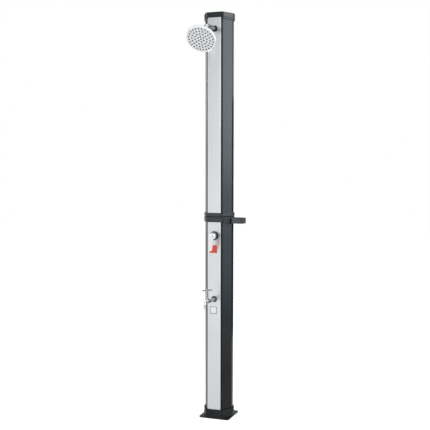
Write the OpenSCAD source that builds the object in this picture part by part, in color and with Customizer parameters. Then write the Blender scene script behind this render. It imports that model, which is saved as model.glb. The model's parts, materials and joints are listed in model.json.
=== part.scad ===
// Outdoor shower post: a two-tank column with a tilting head, a lever mixer, a foot tap and a soap tray.
// Millimetres, +Z up. The origin is the middle of the base plate's underside, and the front faces -Y.

/* [Column] */
// Overall height, from the ground to the top of the cover
post_h = 2170; // [2100:10:2300]
// Distance from the column's axis to the flat front of the tanks
tank_front = 75; // [72:1:80]
// Width of the tanks' flat front
flat_w = 78; // [70:1:84]
// Radius of the tanks' round back
back_r = 77.5; // [75:0.5:82]
// Radius of the four upright corners
corner_r = 8; // [6:0.5:10]
// Angle behind the sides' widest line at which the back's curve starts
flare_end_angle = 8; // [4:1:14]
// Wall of the extruded tanks
tank_wall = 3; // [2.5:0.5:4]
// Thickness of the aluminium front panels
panel_t = 1.3; // [1:0.1:2]
// Width of the aluminium front panels
panel_w = 75; // [66:1:76]

/* [Base] */
// Width of the base plate
base_w = 170; // [168:1:200]
// Depth of the base plate
base_d = 172; // [168:1:200]
// Thickness of the base plate
base_t = 7; // [5:0.5:10]
// Corner radius of the base plate
base_corner_r = 14; // [8:1:20]
// Distance between the anchor holes, both ways
bolt_spacing = 140; // [136:1:146]
// Radius of the anchor holes
bolt_hole_r = 5; // [4:0.5:6]
// Height of the collar's top above the ground
collar_h = 48.6; // [42:0.2:60]
// Wall that the collar and the bands stand out from the tanks
band_grow = 5.7; // [5:0.1:7]
// Extra thickness of the collar's front
collar_push = 3; // [2:0.5:4]

/* [Joint and caps] */
// Height of the middle band's lower edge
band_low = 1064.6; // [1000:0.2:1080]
// Height of the lower half of the middle band
band_lower_h = 25.6; // [22:0.2:30]
// Height of the upper half of the middle band
band_upper_h = 21.4; // [18:0.2:28]
// Groove between the halves of the band, and under the cover
groove = 1.6; // [1.2:0.1:2.4]
// End plate of the caps at the joint
joint_plate_t = 6; // [5:0.5:8]
// Height of the cover at the top
cover_h = 25.5; // [20:0.5:30]
// Height of the ring that shows under the cover at the sides and back
top_ring_h = 7; // [6:0.5:10]

/* [Shower arm and head] */
// Height of the arm above the ground
arm_z = 2084; // [2060:1:2100]
// Outer radius of the arm's pipe
arm_r = 11; // [10:0.5:12]
// Wall of the arm's pipe
arm_wall = 2.5; // [2:0.5:3]
// Level run of the arm, from the panel to its bend
arm_run = 97; // [80:1:140]
// Radius of the arm's bend
arm_bend_r = 35; // [28:1:45]
// How far the arm bends down
arm_dip = 50; // [40:1:60]
// Straight tail after the bend
arm_tail = 20; // [18:0.5:45]
// How far the head's axis dips below level at rest
head_dip = 44; // [38:1:56]
// Radius of the head
head_r = 78; // [70:1:110]
// Distance from the swivel's centre to the head's front edge
head_reach = 50; // [50:1:62]
// Rings of nozzles round the middle one
nozzle_rings = 4; // [2:1:4]
// Distance between the rings of nozzles
nozzle_pitch = 15.9; // [12:0.1:16]
// Radius of one nozzle
nozzle_r = 3; // [1.8:0.1:3.2]

/* [Mixer] */
// Height of the mixer above the ground
mixer_z = 992; // [900:1:1020]
// Radius of the mixer's black gasket
mixer_gasket_r = 24; // [22:0.5:30]
// Radius of the mixer's sleeve
sleeve_r = 20; // [19:0.5:21]
// Radius of the handle's hub
hub_r = 20.5; // [20:0.5:22]
// Distance from the panel to the pivot of the lever
pivot_out = 30; // [29:1:36]
// Drop from the pivot to the middle of the lever's round tip
lever_drop = 66; // [55:1:90]
// Radius of the lever's round tip
lever_tip_r = 11; // [9:0.5:12]

/* [Foot tap] */
// Height of the tap above the ground
tap_z = 651; // [560:1:760]
// Distance from the panel to the tap's valve
tap_reach = 106; // [90:1:130]
// Radius of the tap's level barrel
tap_r = 10; // [9.5:0.5:12]
// Height of the T-handle's bar above the barrel
tap_bar_z = 62; // [56:1:80]
// Half the length of the T-handle's bar
tap_bar_half = 32; // [26:1:40]
// Angle of the T-handle at rest, half open
tap_bar_angle = 48; // [0:1:90]
// Distance from the valve to the spout's drop
spout_out = 34; // [30:1:50]
// Depth of the spout's mouth below the barrel
spout_drop = 33; // [30:1:50]

/* [Soap tray] */
// Height of the tray's underside above the ground
tray_z = 1056; // [1000:1:1057]
// Height of the tray
tray_h = 30; // [22:1:30]
// Distance from the column's axis to the tray's outer end
tray_end = 146; // [130:1:170]
// Width of the tray, front to back
tray_w = 60; // [50:1:70]
// Wall of the tray
tray_wall = 2.5; // [2:0.5:3]

/* [Labels and rear fittings] */
// Side of the red square by the lever
heat_side = 42; // [30:1:50]
// Height of the red square's middle
heat_z = 920; // [840:1:930]
// Side of the pale square under the tap
sign_side = 40; // [30:1:46]
// Height of the pale square's middle
sign_z = 591; // [480:1:592]
// How far both squares sit left of the panel's middle
label_left = 4; // [0:0.5:8]
// Height of the garden hose's inlet at the back
inlet_z = 140; // [120:1:200]
// Height of the drain plug at the back
drain_z = 76; // [74:1:84]
// Radius of the inlet's outside thread
inlet_thread_r = 13.2; // [12:0.1:16]
// Length of the inlet's outside thread
inlet_thread_len = 14; // [12:0.5:18]

/* [Hidden] */

$fn = 64;
fine = 160;
hull_fn = 32;
corner_steps = 8;

// Clearances, and the overrun that every cut shares
fit_gap = 0.15;
run_gap = 0.05;
thread_gap = 0.1;
hole_gap = 0.4;
cut = 1;

// Colours
black = [0.09, 0.10, 0.11];
aluminium = [0.80, 0.81, 0.82];
chrome = [0.86, 0.87, 0.89];
brass = [0.78, 0.63, 0.34];
rubber = [0.05, 0.05, 0.05];
nylon = [0.88, 0.88, 0.85];
steel = [0.70, 0.71, 0.73];

// Column outline: the two corner centres on the right side, and the normal of the flared face
front_centre = [flat_w / 2, -(tank_front - corner_r)];
side_centre = (back_r - corner_r) * [cos(-flare_end_angle), sin(-flare_end_angle)];
panel_front = tank_front + panel_t;

// Heights that follow from the sizes above
plug_h = 34;
plug_wall = 4;
lower_tank_top = band_low + band_lower_h - joint_plate_t;
joint_face = band_low + band_lower_h;
upper_band_low = joint_face + groove;
upper_tank_low = upper_band_low + joint_plate_t;
band_top = upper_band_low + band_upper_h;
cover_low = post_h - cover_h;
top_ring_top = cover_low - groove;
top_ring_low = top_ring_top - top_ring_h;
top_plate_t = 4.5;
upper_tank_top = top_ring_top - top_plate_t;
cap_wall = 3;
cap_plug_h = 18;
panel_gap = 0.4;

// Foot of the collar, and the collar's screws
foot_h = 8;
foot_grow = 2.2;
screw_z = 34;
screw_side = 16;
screw_r = 2;
screw_head_r = 4.5;
screw_head_h = 2.6;
screw_len = 15;
screw_slot = 1.2;
collar_front = tank_front + band_grow + collar_push;

// Joint nipple
nipple_y = -25;
nipple_r = 24;
nipple_wall = 4;
nipple_nut_r = 30;
nipple_nut_h = 6;

// Pipes inside the tanks
pipe_r = 6;
pipe_wall = 1.2;
pipe_bend_r = 10;
port_back = 38;
pipe_y = port_back - panel_front;
hot_y = -14;
hot_top = 2110;
boss_r = 8;
boss_bore_r = 4;
mixer_boss_h = 25;
arm_boss_h = 20;

// Wall fittings share one neck and one kind of nut
neck_r = 8.4;
neck_bore_r = 5.5;
wall_nut_r = 14;
wall_nut_h = 6;
inner_wall = panel_t + tank_wall;
gasket_t = 3;
small_gasket_r = 16.5;

// Arm union and swivel
union_r = 12;
union_back = 48;
union_neck = 14;
ball_r = 11;
ball_collar_r = 10;
ball_collar_far = 26;
ball_collar_near = 20;
ball_stem_r = 4.5;
ball_bore_r = 3;
ball_shank_len = 11;
shank_r = 8;
ferrule_step = 0.4;
ferrule_lap = 1.5;
washer_t = 1.5;
washer_r = 10.5;
ball_neck = ball_collar_far + washer_t;
seal_t = 2;
seal_low = 1.5;
seal_high = 7;
socket_step = 2.5;
socket_lip = 5.5;
nut_back = 8;
nut_front = 9;
nut_wall = 2;
shell_neck_r = 15.5;
shell_neck_low = 1;
nut_r = shell_neck_r + nut_wall;
ball_y = -(panel_front + arm_run + arm_bend_r * sin(arm_dip) + (arm_tail + ball_neck) * cos(arm_dip));
ball_z = arm_z - arm_bend_r * (1 - cos(arm_dip)) - (arm_tail + ball_neck) * sin(arm_dip);

// Shower head
dome_low = 18;
rim_depth = 9;
dome_steps = 12;
shell_wall = 2.5;
face_seat = 4;
face_t = 3;
mat_t = 2;
nozzle_out = 1.8;
nozzle_bore_r = 0.7;
nozzle_gap = 0.1;
nozzle_turn = 26;
throat_r = 5;

// Mixer
mixer_body_r = 18;
mixer_neck_r = 16.5;
mixer_back = 48;
mixer_neck_out = pivot_out - 10;
cartridge_r = 12.5;
cartridge_back = 6;
cartridge_seal_t = 2;
turret_r = 8;
turret_floor = 2;
turret_front = 6;
cover_flange_h = 2;
cover_flange_r = mixer_neck_r - thread_gap;
dome_r = hub_r - 3.5;
dome_front = 11;
dome_mouth_r = 10;
sleeve_lip = 2;
port_hole_r = 2.6;
port_offset = 8;
boss_bore_low = 4.4;
hub_wall = 3;
stem_r = 3;
stem_eye_r = 4.2;
stem_t = 5.8;
stem_len = 19;
slot_gap = 0.1;
pin_r = 1.5;
lever_root_r = 15.5;
lever_root_back = 13;
lever_root_t = 10;
lever_tip_out = 23;
lever_tip_t = 5;
hub_rim_tilt = 12.5;
hub_rim_shift = 0.2;
handle_screw_r = 1.5;
handle_screw_head_r = 3.2;
handle_screw_head_h = 1.8;
handle_screw_len = 5;
plug_r = 4.5;
plug_t = 1;

// Foot tap
tap_hex_r = 12;
tap_hex_t = 5;
chamber_r = 10.5;
chamber_low = 10;
chamber_high = 13;
chamber_bore_r = 7;
chamber_floor = 2;
barrel_bore_r = 4.5;
seat_port_r = 3;
spout_r = 7.5;
spout_bore_r = 4.5;
spout_bend_r = 12;
outlet_h = 10;
outlet_r = 8.3;
tap_neck_back = 18;
tap_seal_t = 2;
disc_r = 5.4;
disc_t = 3.6;
bonnet_hex_r = 11;
bonnet_hex_h = 6;
bonnet_r = 8.8;
bonnet_gap = 1.5;
spindle_r = 3.5;
handle_hub_r = 7.5;
handle_hub_low = 10;
handle_hub_high = 7;
handle_roof = 3;
bar_root_r = 4.6;
bar_tip_r = 3.4;
tap_screw_r = 1.5;
tap_screw_len = 8;
tap_screw_head_r = 3.2;
tap_screw_head_h = 2;

// Soap tray
strap_gap = 0.2;
strap_t = 1.6;
pad_t = 5.5;
pad_back = -42;
strap_back = 42;
tray_seat_gap = 0.2;
tray_corner_r = 15;
tray_floor = 3;
tray_rim_round = 2;
drain_slot_w = 4;
drain_slot_len = 30;
drain_slot_pitch = 11;
tray_foot_h = 8;
tray_screw_r = 1.6;
tray_screw_head_r = 3.5;
tray_screw_head_h = 2;
tray_screw_len = 9;
tray_screw_up = 16;
tray_screw_apart = 24;

// Labels and rear fittings
label_t = 0.5;
label_corner_r = 3;
sign_frame = 2.4;
sign_frame_t = 0.2;
rear_seal_t = 2;
rear_seal_r = 13;
inlet_hex_r = 16;
inlet_hex_t = 5;
inlet_bore_r = 6;
inlet_neck = 16;
valve_r = 11;
valve_len = 30;
fill_hole_r = 3;
knob_r = 12;
knob_t = 10;
knob_grips = 12;
knob_grip_r = 1.4;
drain_neck = 12;
nut_in = 4.4;

function unit(a) = [cos(a), sin(a)];
function mirrored_back(v) = [for (i = [len(v) - 1 : -1 : 0]) [-v[i][0], v[i][1]]];

// Outline of the column seen from above, grown outwards, with the front pushed forward:
// a flat front, two rounded corners, two flared sides and a round back
module outline(grow, push = 0) {
    r = corner_r + grow;
    front = front_centre - [0, push];
    across = side_centre - front;
    turn = atan2(across[1], across[0]) - 90;
    corner = [for (i = [0 : corner_steps]) front + r * unit((turn + 90) * i / corner_steps - 90)];
    flare_end = side_centre + r * unit(turn) + back_r * unit(turn + 90);
    right = concat(corner, [flare_end, [flare_end[0], 2 * back_r]]);
    intersection() {
        polygon(concat(right, mirrored_back(right)));
        union() {
            circle(back_r + grow, $fn = fine);
            translate([-2 * back_r, -3 * back_r])
                square([4 * back_r, 3 * back_r - (back_r + grow) * sin(2 * flare_end_angle)]);
        }
    }
}

// A solid of the column's outline between two heights
module column_slab(low, high, grow, push = 0) {
    translate([0, 0, low]) linear_extrude(high - low) outline(grow, push);
}

// A wall between two grown outlines
module column_wall(low, high, outer, inner) {
    difference() {
        column_slab(low, high, outer);
        column_slab(low - cut, high + cut, inner);
    }
}

module rounded_plate(size, r) {
    for (s = [[size[0] - 2 * r, size[1]], [size[0], size[1] - 2 * r]]) square(s, center = true);
    for (x = [-1, 1], y = [-1, 1])
        translate([x * (size[0] / 2 - r), y * (size[1] / 2 - r)]) circle(r);
}

// Local frame of a fitting on the front: +Z points out of the panel and +Y points up
module front_at(z) {
    translate([0, -panel_front, z]) rotate([90, 0, 0]) children();
}

// Local frame of a fitting on the round back: +Z points out of the tank
module rear_at(z) {
    translate([0, back_r, z]) rotate([-90, 0, 0]) children();
}

// Local frame whose +Z points up the post, from a fitting's own frame
module upward() {
    rotate([-90, 0, 0]) children();
}

module tube(r, bore, low, high) {
    difference() {
        translate([0, 0, low]) cylinder(r = r, h = high - low);
        translate([0, 0, low - cut]) cylinder(r = bore, h = high - low + 2 * cut);
    }
}

module rod(r, low, high) {
    translate([0, 0, low]) cylinder(r = r, h = high - low);
}

module hex(r, low, high) {
    translate([0, 0, low]) cylinder(r = r, h = high - low, $fn = 6);
}

// A bend of a round rod that starts along +Z at the origin and turns towards -Y
module bend(path_r, r, angle) {
    translate([0, -path_r, 0]) rotate([90, 0, 90])
        rotate_extrude(angle = angle) translate([path_r, 0]) circle(r);
}

module after_bend(path_r, angle) {
    translate([0, -path_r * (1 - cos(angle)), path_r * sin(angle)]) rotate([angle, 0, 0]) children();
}

// Places around the base's collar and the screws' directions
module at_collar_screws() {
    translate([screw_side, -collar_front, screw_z]) rotate([90, 0, 0]) children();
    for (a = [0, 90, 180])
        rotate(a) translate([back_r + band_grow, 0, screw_z]) rotate([0, 90, 0]) children();
}

module base_flange() {
    color(black) difference() {
        union() {
            linear_extrude(base_t) rounded_plate([base_w, base_d], base_corner_r);
            column_slab(0, collar_h, band_grow, collar_push);
            column_slab(0, base_t + foot_h, band_grow + foot_grow, collar_push);
        }
        column_slab(base_t, collar_h + cut, fit_gap);
        for (x = [-1, 1], y = [-1, 1])
            translate([x * bolt_spacing / 2, y * bolt_spacing / 2, -cut])
                cylinder(r = bolt_hole_r, h = collar_h);
        at_collar_screws() rod(screw_r + run_gap, -screw_len - cut, cut);
    }
}

module base_plug() {
    color(black) difference() {
        column_slab(base_t, base_t + plug_h, -tank_wall - fit_gap);
        column_slab(base_t + plug_wall, base_t + plug_h + cut, -tank_wall - plug_wall);
        at_collar_screws() rod(screw_r + run_gap, -screw_len - cut, cut);
    }
}

module collar_screws() {
    color(steel) at_collar_screws() difference() {
        union() {
            rod(screw_r, -screw_len, 0);
            rod(screw_head_r, 0, screw_head_h);
        }
        for (a = [0, 90]) rotate(a)
            translate([-screw_head_r * 0.6, -screw_slot / 2, screw_head_h / 2])
                cube([screw_head_r * 1.2, screw_slot, screw_head_h]);
    }
}

module lower_tank() {
    color(black) difference() {
        column_wall(base_t, lower_tank_top, 0, -tank_wall);
        at_collar_screws() rod(screw_r + run_gap, -screw_len - cut, cut);
        front_at(mixer_z) rod(mixer_neck_r + hole_gap, -inner_wall - cut, 0);
        front_at(tap_z) rod(neck_r + hole_gap, -inner_wall - cut, 0);
        for (z = [inlet_z, drain_z]) rear_at(z) rod(neck_r + hole_gap, -2 * tank_wall, cut);
    }
}

module panel(low, high) {
    translate([-panel_w / 2, -panel_front, low]) cube([panel_w, panel_t, high - low]);
}

module lower_panel() {
    color(aluminium) difference() {
        panel(collar_h + panel_gap, band_low - panel_gap);
        front_at(mixer_z) rod(mixer_neck_r + hole_gap, -inner_wall, cut);
        front_at(tap_z) rod(neck_r + hole_gap, -inner_wall, cut);
    }
}

module joint_hole(low, high) {
    translate([0, nipple_y, 0]) rod(nipple_r + thread_gap, low - cut, high + cut);
}

module lower_joint_cap() {
    color(black) difference() {
        column_slab(band_low, joint_face, band_grow);
        column_wall(band_low - cut, lower_tank_top, fit_gap, -tank_wall - fit_gap);
        column_slab(band_low - cut, lower_tank_top, -tank_wall - cap_wall);
        joint_hole(band_low, joint_face);
    }
}

module joint_nipple() {
    color(nylon) translate([0, nipple_y, 0])
        tube(nipple_r, nipple_r - nipple_wall, lower_tank_top - nipple_nut_h - cut,
            upper_tank_low + nipple_nut_h + cut);
}

module joint_nuts() {
    color(nylon) translate([0, nipple_y, 0])
        for (z = [lower_tank_top - nipple_nut_h, upper_tank_low]) difference() {
            hex(nipple_nut_r, z, z + nipple_nut_h);
            rod(nipple_r + thread_gap, z - cut, z + nipple_nut_h + cut);
        }
}

module joint_gasket() {
    color(rubber) difference() {
        column_slab(joint_face, upper_band_low, tank_wall / 2);
        joint_hole(joint_face, upper_band_low);
    }
}

module upper_joint_cap() {
    color(black) difference() {
        column_slab(upper_band_low, band_top, band_grow);
        column_wall(upper_tank_low, band_top + cut, fit_gap, -tank_wall - fit_gap);
        column_slab(upper_tank_low, band_top + cut, -tank_wall - cap_wall);
        joint_hole(upper_band_low, band_top);
    }
}

module upper_tank() {
    color(black) difference() {
        column_wall(upper_tank_low, upper_tank_top, 0, -tank_wall);
        front_at(arm_z) rod(neck_r + hole_gap, -inner_wall - cut, 0);
    }
}

module upper_panel() {
    color(aluminium) difference() {
        panel(band_top + panel_gap, top_ring_top - panel_gap);
        front_at(arm_z) rod(neck_r + hole_gap, -inner_wall, cut);
    }
}

module top_end_cap() {
    color(black) {
        difference() {
            column_slab(top_ring_low, top_ring_top, band_grow);
            column_wall(top_ring_low - cut, upper_tank_top, fit_gap, -tank_wall - fit_gap);
            column_slab(top_ring_low - cut, upper_tank_top, -tank_wall - cap_wall);
            // The front is left open for the panel, which runs up to the cover
            translate([-panel_w / 2 - panel_gap, -tank_front - band_grow - cut, top_ring_low - cut])
                cube([panel_w + 2 * panel_gap, band_grow + cut, top_ring_h + 2 * cut]);
        }
        column_wall(upper_tank_top - cap_plug_h, upper_tank_top, -tank_wall - fit_gap, -tank_wall - cap_wall);
    }
}

module top_cover() {
    color(black) difference() {
        union() {
            column_slab(cover_low, post_h, band_grow);
            column_slab(top_ring_top, cover_low, tank_wall / 2);
        }
        column_slab(top_ring_top - cut, post_h - cap_wall, tank_wall / 2 - cap_wall);
    }
}

strap_in = band_grow + strap_gap;
strap_out = strap_in + strap_t;
pad_out = strap_in + pad_t;
bracket_top = min(tray_z + tray_h, joint_face - strap_gap);

// The part of a plan shape on the tray's side, between two depths
module right_of_column(front, back) {
    intersection() {
        children();
        translate([flat_w / 2 + corner_r / 2, front]) square([tray_end, back - front]);
    }
}

module at_tray_screws() {
    for (y = [-1, 1]) translate([back_r + strap_in, y * tray_screw_apart / 2, tray_z + tray_screw_up])
        rotate([0, 90, 0]) children();
}

module tray_bracket() {
    color(black) difference() {
        union() {
            translate([0, 0, tray_z]) linear_extrude(bracket_top - tray_z) {
                right_of_column(-panel_front, strap_back) outline(strap_out);
                right_of_column(-panel_front, pad_back) outline(pad_out);
            }
        }
        column_slab(tray_z - cut, band_low - strap_gap, fit_gap);
        column_slab(band_low - strap_gap - cut, bracket_top + cut, strap_in);
        at_tray_screws() rod(tray_screw_r + run_gap, -cut, tray_screw_len);
    }
}

module tray_plan(inset) {
    difference() {
        translate([tray_end / 2, 0])
            rounded_plate([tray_end - 2 * inset, tray_w - 2 * inset], tray_corner_r - inset);
        outline(strap_out + tray_seat_gap + inset);
    }
}

module soap_tray() {
    color(black) difference() {
        translate([0, 0, tray_z]) linear_extrude(tray_h) right_of_column(-tray_w, tray_w) tray_plan(0);
        translate([0, 0, tray_z + tray_floor]) linear_extrude(tray_h)
            right_of_column(-tray_w, tray_w) tray_plan(tray_wall);
        for (i = [-1 : 1])
            translate([(back_r + strap_out + tray_end) / 2 - drain_slot_len / 2,
                i * drain_slot_pitch - drain_slot_w / 2, tray_z - cut])
                cube([drain_slot_len, drain_slot_w, tray_h]);
        at_tray_screws() rod(tray_screw_r + run_gap, -cut, tray_screw_len);
    }
}

// The heads lie inside the tray, against its inner wall
tray_wall_face = strap_t + tray_seat_gap + tray_wall;

module tray_screws() {
    color(steel) at_tray_screws() {
        rod(tray_screw_r, strap_gap, tray_wall_face);
        rod(tray_screw_head_r, tray_wall_face, tray_wall_face + tray_screw_head_h);
    }
}

module arm_end() {
    front_at(arm_z) translate([0, 0, arm_run]) after_bend(arm_bend_r, arm_dip) children();
}

// Local frames at the swivel's centre: +Z along the arm's end, or along the head's axis
module ball_along_arm() {
    arm_end() translate([0, 0, arm_tail + ball_neck]) children();
}

module ball_along_head() {
    translate([0, ball_y, ball_z]) rotate([90 + head_dip, 0, 0]) children();
}

module arm_gasket() {
    color(rubber) front_at(arm_z) tube(small_gasket_r, arm_r + hole_gap, 0, gasket_t);
}

module arm_union() {
    color(brass) front_at(arm_z) difference() {
        union() {
            rod(union_r, -union_back, -inner_wall);
            rod(neck_r, -inner_wall, union_neck);
            translate([0, 0, -port_back]) upward() rod(boss_r, -arm_boss_h, 0);
        }
        rod(neck_bore_r, -port_back - neck_bore_r, union_neck + cut);
        translate([0, 0, -port_back]) upward() rod(boss_bore_r, -arm_boss_h - cut, 0);
    }
}

// A run out of the wall and a bend, as a solid rod
module arm_run_and_bend(r, start) {
    front_at(arm_z) rod(r, start, arm_run);
    front_at(arm_z) translate([0, 0, arm_run]) bend(arm_bend_r, r, arm_dip);
}

module shower_arm() {
    color(chrome) difference() {
        union() {
            arm_run_and_bend(arm_r, 0);
            arm_end() rod(arm_r + ferrule_step, -ferrule_lap, arm_tail);
        }
        arm_run_and_bend(arm_r - arm_wall, -cut);
        arm_end() rod(shank_r + thread_gap, -ferrule_lap, arm_tail + cut);
    }
}

module arm_washer() {
    color(rubber) ball_along_arm()
        tube(washer_r, shank_r + thread_gap, -ball_neck, -ball_collar_far);
}

module swivel_ball() {
    color(chrome) ball_along_arm() difference() {
        union() {
            sphere(ball_r, $fn = fine);
            rod(ball_stem_r, -ball_collar_near, 0);
            hex(ball_collar_r, -ball_collar_far, -ball_collar_near);
            rod(shank_r, -ball_neck - ball_shank_len, -ball_collar_far);
        }
        rod(ball_bore_r, -ball_neck - ball_shank_len - cut, ball_r + cut);
    }
}

module slab_between(low, high) {
    translate([0, 0, low]) cylinder(r = nut_r + cut, h = high - low);
}

module ball_seal() {
    color(nylon) ball_along_head() difference() {
        intersection() {
            sphere(ball_r + seal_t + run_gap, $fn = fine);
            slab_between(seal_low, seal_high);
        }
        sphere(ball_r + run_gap, $fn = fine);
    }
}

socket_r = ball_r + seal_t + 2 * run_gap;
lip_r = sqrt(pow(ball_r + run_gap, 2) - pow(socket_lip, 2));

module swivel_nut() {
    color(chrome) ball_along_head() difference() {
        union() {
            rod(nut_r, -nut_back / 2, nut_front);
            translate([0, 0, -nut_back]) cylinder(r1 = nut_r - nut_back / 2, r2 = nut_r, h = nut_back / 2);
        }
        sphere(ball_r + run_gap, $fn = fine);
        intersection() {
            sphere(socket_r, $fn = fine);
            slab_between(-socket_step, nut_front);
        }
        rod(shell_neck_r + run_gap, shell_neck_low, nut_front + cut);
        translate([0, 0, -nut_back - cut])
            cylinder(r1 = lip_r + nut_wall, r2 = lip_r, h = nut_back + cut - socket_lip);
    }
}

// Quarter of an ellipse from the neck to the rim, as points [radius, depth]
function dome(r0, z0, r1, z1) = [
    for (i = [0 : dome_steps]) let (a = 90 * i / dome_steps)
        [r0 + (r1 - r0) * sin(a), z1 - (z1 - z0) * cos(a)]
];
function reversed(v) = [for (i = [len(v) - 1 : -1 : 0]) v[i]];

rim_back = head_reach - rim_depth;
face_back = head_reach - face_seat;
chamber_edge = head_r - 2 * shell_wall;

module head_shell() {
    color(chrome) ball_along_head() difference() {
        rotate_extrude($fn = fine) polygon(concat(
            [[0, shell_neck_low], [shell_neck_r, shell_neck_low]],
            dome(shell_neck_r, dome_low, head_r, rim_back),
            [[head_r, head_reach], [head_r - shell_wall, head_reach], [head_r - shell_wall, face_back],
                [chamber_edge, face_back]],
            reversed(dome(throat_r, dome_low + shell_wall, chamber_edge, rim_back + shell_wall)),
            [[0, dome_low + shell_wall]]
        ));
        sphere(socket_r, $fn = fine);
        rod(throat_r, 0, dome_low + 2 * shell_wall);
    }
}

// Places of the nozzles on the head's face
module at_nozzles() {
    children();
    for (ring = [1 : nozzle_rings], i = [0 : 6 * ring - 1])
        rotate(nozzle_turn + i * 60 / ring) translate([ring * nozzle_pitch, 0, 0]) children();
}

module head_face() {
    color(aluminium) ball_along_head() difference() {
        rod(head_r - shell_wall - fit_gap, face_back, face_back + face_t, $fn = fine);
        at_nozzles() rod(nozzle_r + nozzle_gap, face_back - cut, face_back + face_t + cut);
    }
}

module nozzle_mat() {
    color([0.45, 0.46, 0.48]) ball_along_head() difference() {
        union() {
            rod(chamber_edge - fit_gap, face_back - mat_t, face_back);
            at_nozzles() rod(nozzle_r, face_back - mat_t, face_back + face_t + nozzle_out);
        }
        at_nozzles() rod(nozzle_bore_r, face_back - mat_t - cut, head_reach + nozzle_out);
    }
}

module mixer_gasket() {
    color(rubber) front_at(mixer_z) tube(mixer_gasket_r, mixer_neck_r + hole_gap, 0, gasket_t);
}

module cartridge_ports(low, high) {
    for (y = [-port_offset, 0, port_offset]) translate([0, y, 0]) rod(port_hole_r, low, high);
}

module mixer_body() {
    color(brass) front_at(mixer_z) difference() {
        union() {
            rod(mixer_body_r, -mixer_back, -inner_wall);
            rod(mixer_neck_r, -inner_wall, mixer_neck_out);
            translate([0, 0, -port_back]) upward() rod(boss_r, -mixer_boss_h, mixer_boss_h);
        }
        rod(cartridge_r + thread_gap, -cartridge_back - cartridge_seal_t, mixer_neck_out + cut);
        cartridge_ports(-port_back, 0);
        rod(port_hole_r, -mixer_back - cut, 0);
        translate([0, 0, -port_back]) upward() {
            rod(boss_bore_r, boss_bore_low, mixer_boss_h + cut);
            rod(boss_bore_r, -mixer_boss_h - cut, -boss_bore_low);
        }
    }
}

module mixer_sleeve() {
    color(chrome) front_at(mixer_z) {
        difference() {
            rod(sleeve_r, gasket_t, mixer_neck_out + cover_flange_h + sleeve_lip);
            rod(mixer_neck_r + thread_gap, gasket_t - cut, mixer_neck_out + cover_flange_h);
            rod(dome_r - cut, mixer_neck_out, pivot_out);
        }
    }
}

module cartridge_seal() {
    color(rubber) front_at(mixer_z) difference() {
        rod(cartridge_r, -cartridge_back - cartridge_seal_t, -cartridge_back);
        cartridge_ports(-cartridge_back - cartridge_seal_t - cut, 0);
    }
}

module cartridge() {
    color(nylon) front_at(mixer_z) difference() {
        rod(cartridge_r, -cartridge_back, mixer_neck_out);
        rod(turret_r + run_gap, turret_floor, mixer_neck_out + cut);
        cartridge_ports(-cartridge_back - cut, turret_floor + cut);
    }
}

module cartridge_cover() {
    color(chrome) front_at(mixer_z) difference() {
        union() {
            rod(cover_flange_r, mixer_neck_out, mixer_neck_out + cover_flange_h);
            intersection() {
                translate([0, 0, pivot_out]) sphere(dome_r, $fn = fine);
                rod(dome_r + cut, mixer_neck_out + cover_flange_h, pivot_out + dome_front);
            }
        }
        rod(turret_r + run_gap, mixer_neck_out - cut, pivot_out + dome_front + cut);
        rod(dome_mouth_r, pivot_out + turret_front + slot_gap, pivot_out + dome_front + cut);
    }
}

module cross_rod(r, half) {
    translate([0, 0, pivot_out]) rotate([0, 90, 0]) rod(r, -half, half);
}

module cartridge_turret() {
    color(nylon) front_at(mixer_z) difference() {
        rod(turret_r, turret_floor + slot_gap, pivot_out + turret_front);
        translate([-stem_t / 2 - slot_gap, -turret_r - cut, pivot_out - stem_eye_r - slot_gap])
            cube([stem_t + 2 * slot_gap, 2 * turret_r + 2 * cut, 2 * turret_r]);
        cross_rod(pin_r + run_gap, turret_r + cut);
    }
}

pin_half = turret_r - slot_gap * 3;

module turret_pin() {
    color(steel) front_at(mixer_z) cross_rod(pin_r, pin_half);
}

module lever_stem() {
    color(steel) front_at(mixer_z) difference() {
        union() {
            cross_rod(stem_eye_r, stem_t / 2);
            rod(stem_r, pivot_out, pivot_out + stem_len);
        }
        cross_rod(pin_r + run_gap, stem_t);
        rod(handle_screw_r + run_gap, pivot_out + stem_len - handle_screw_len, pivot_out + stem_len + cut);
    }
}

hub_cavity_r = hub_r - hub_wall;
root_front = pivot_out + lever_root_back + lever_root_t;
screw_seat = pivot_out + stem_len + cut;

module mixer_handle() {
    color(chrome) front_at(mixer_z) difference() {
        union() {
            difference() {
                translate([0, 0, pivot_out]) sphere(hub_r, $fn = fine);
                translate([0, 0, pivot_out + hub_rim_shift]) rotate([hub_rim_tilt, 0, 0])
                    rod(2 * hub_r, -3 * hub_r, 0);
            }
            hull() {
                rod(lever_root_r, pivot_out + lever_root_back, root_front, $fn = hull_fn);
                translate([0, -lever_drop, 0])
                    rod(lever_tip_r, pivot_out + lever_tip_out, pivot_out + lever_tip_out + lever_tip_t,
                        $fn = hull_fn);
            }
        }
        translate([0, 0, pivot_out]) sphere(hub_cavity_r, $fn = fine);
        rod(stem_r + run_gap, pivot_out, pivot_out + stem_len);
        rod(handle_screw_r + run_gap, pivot_out, root_front);
        rod(handle_screw_head_r + run_gap, screw_seat, root_front + cut);
        rod(plug_r + run_gap, root_front, root_front + 3 * plug_t);
    }
}

module handle_screw() {
    color(steel) front_at(mixer_z) {
        rod(handle_screw_r, screw_seat - handle_screw_len, screw_seat);
        rod(handle_screw_head_r, screw_seat, screw_seat + handle_screw_head_h);
    }
}

module handle_plug() {
    color(chrome) front_at(mixer_z) {
        rod(handle_screw_head_r, screw_seat + handle_screw_head_h, root_front);
        rod(plug_r, root_front, root_front + plug_t);
    }
}

module heat_label() {
    color([0.80, 0.16, 0.13]) front_at(heat_z) translate([-label_left, 0, 0])
        linear_extrude(label_t) rounded_plate([heat_side, heat_side], label_corner_r);
}

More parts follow.
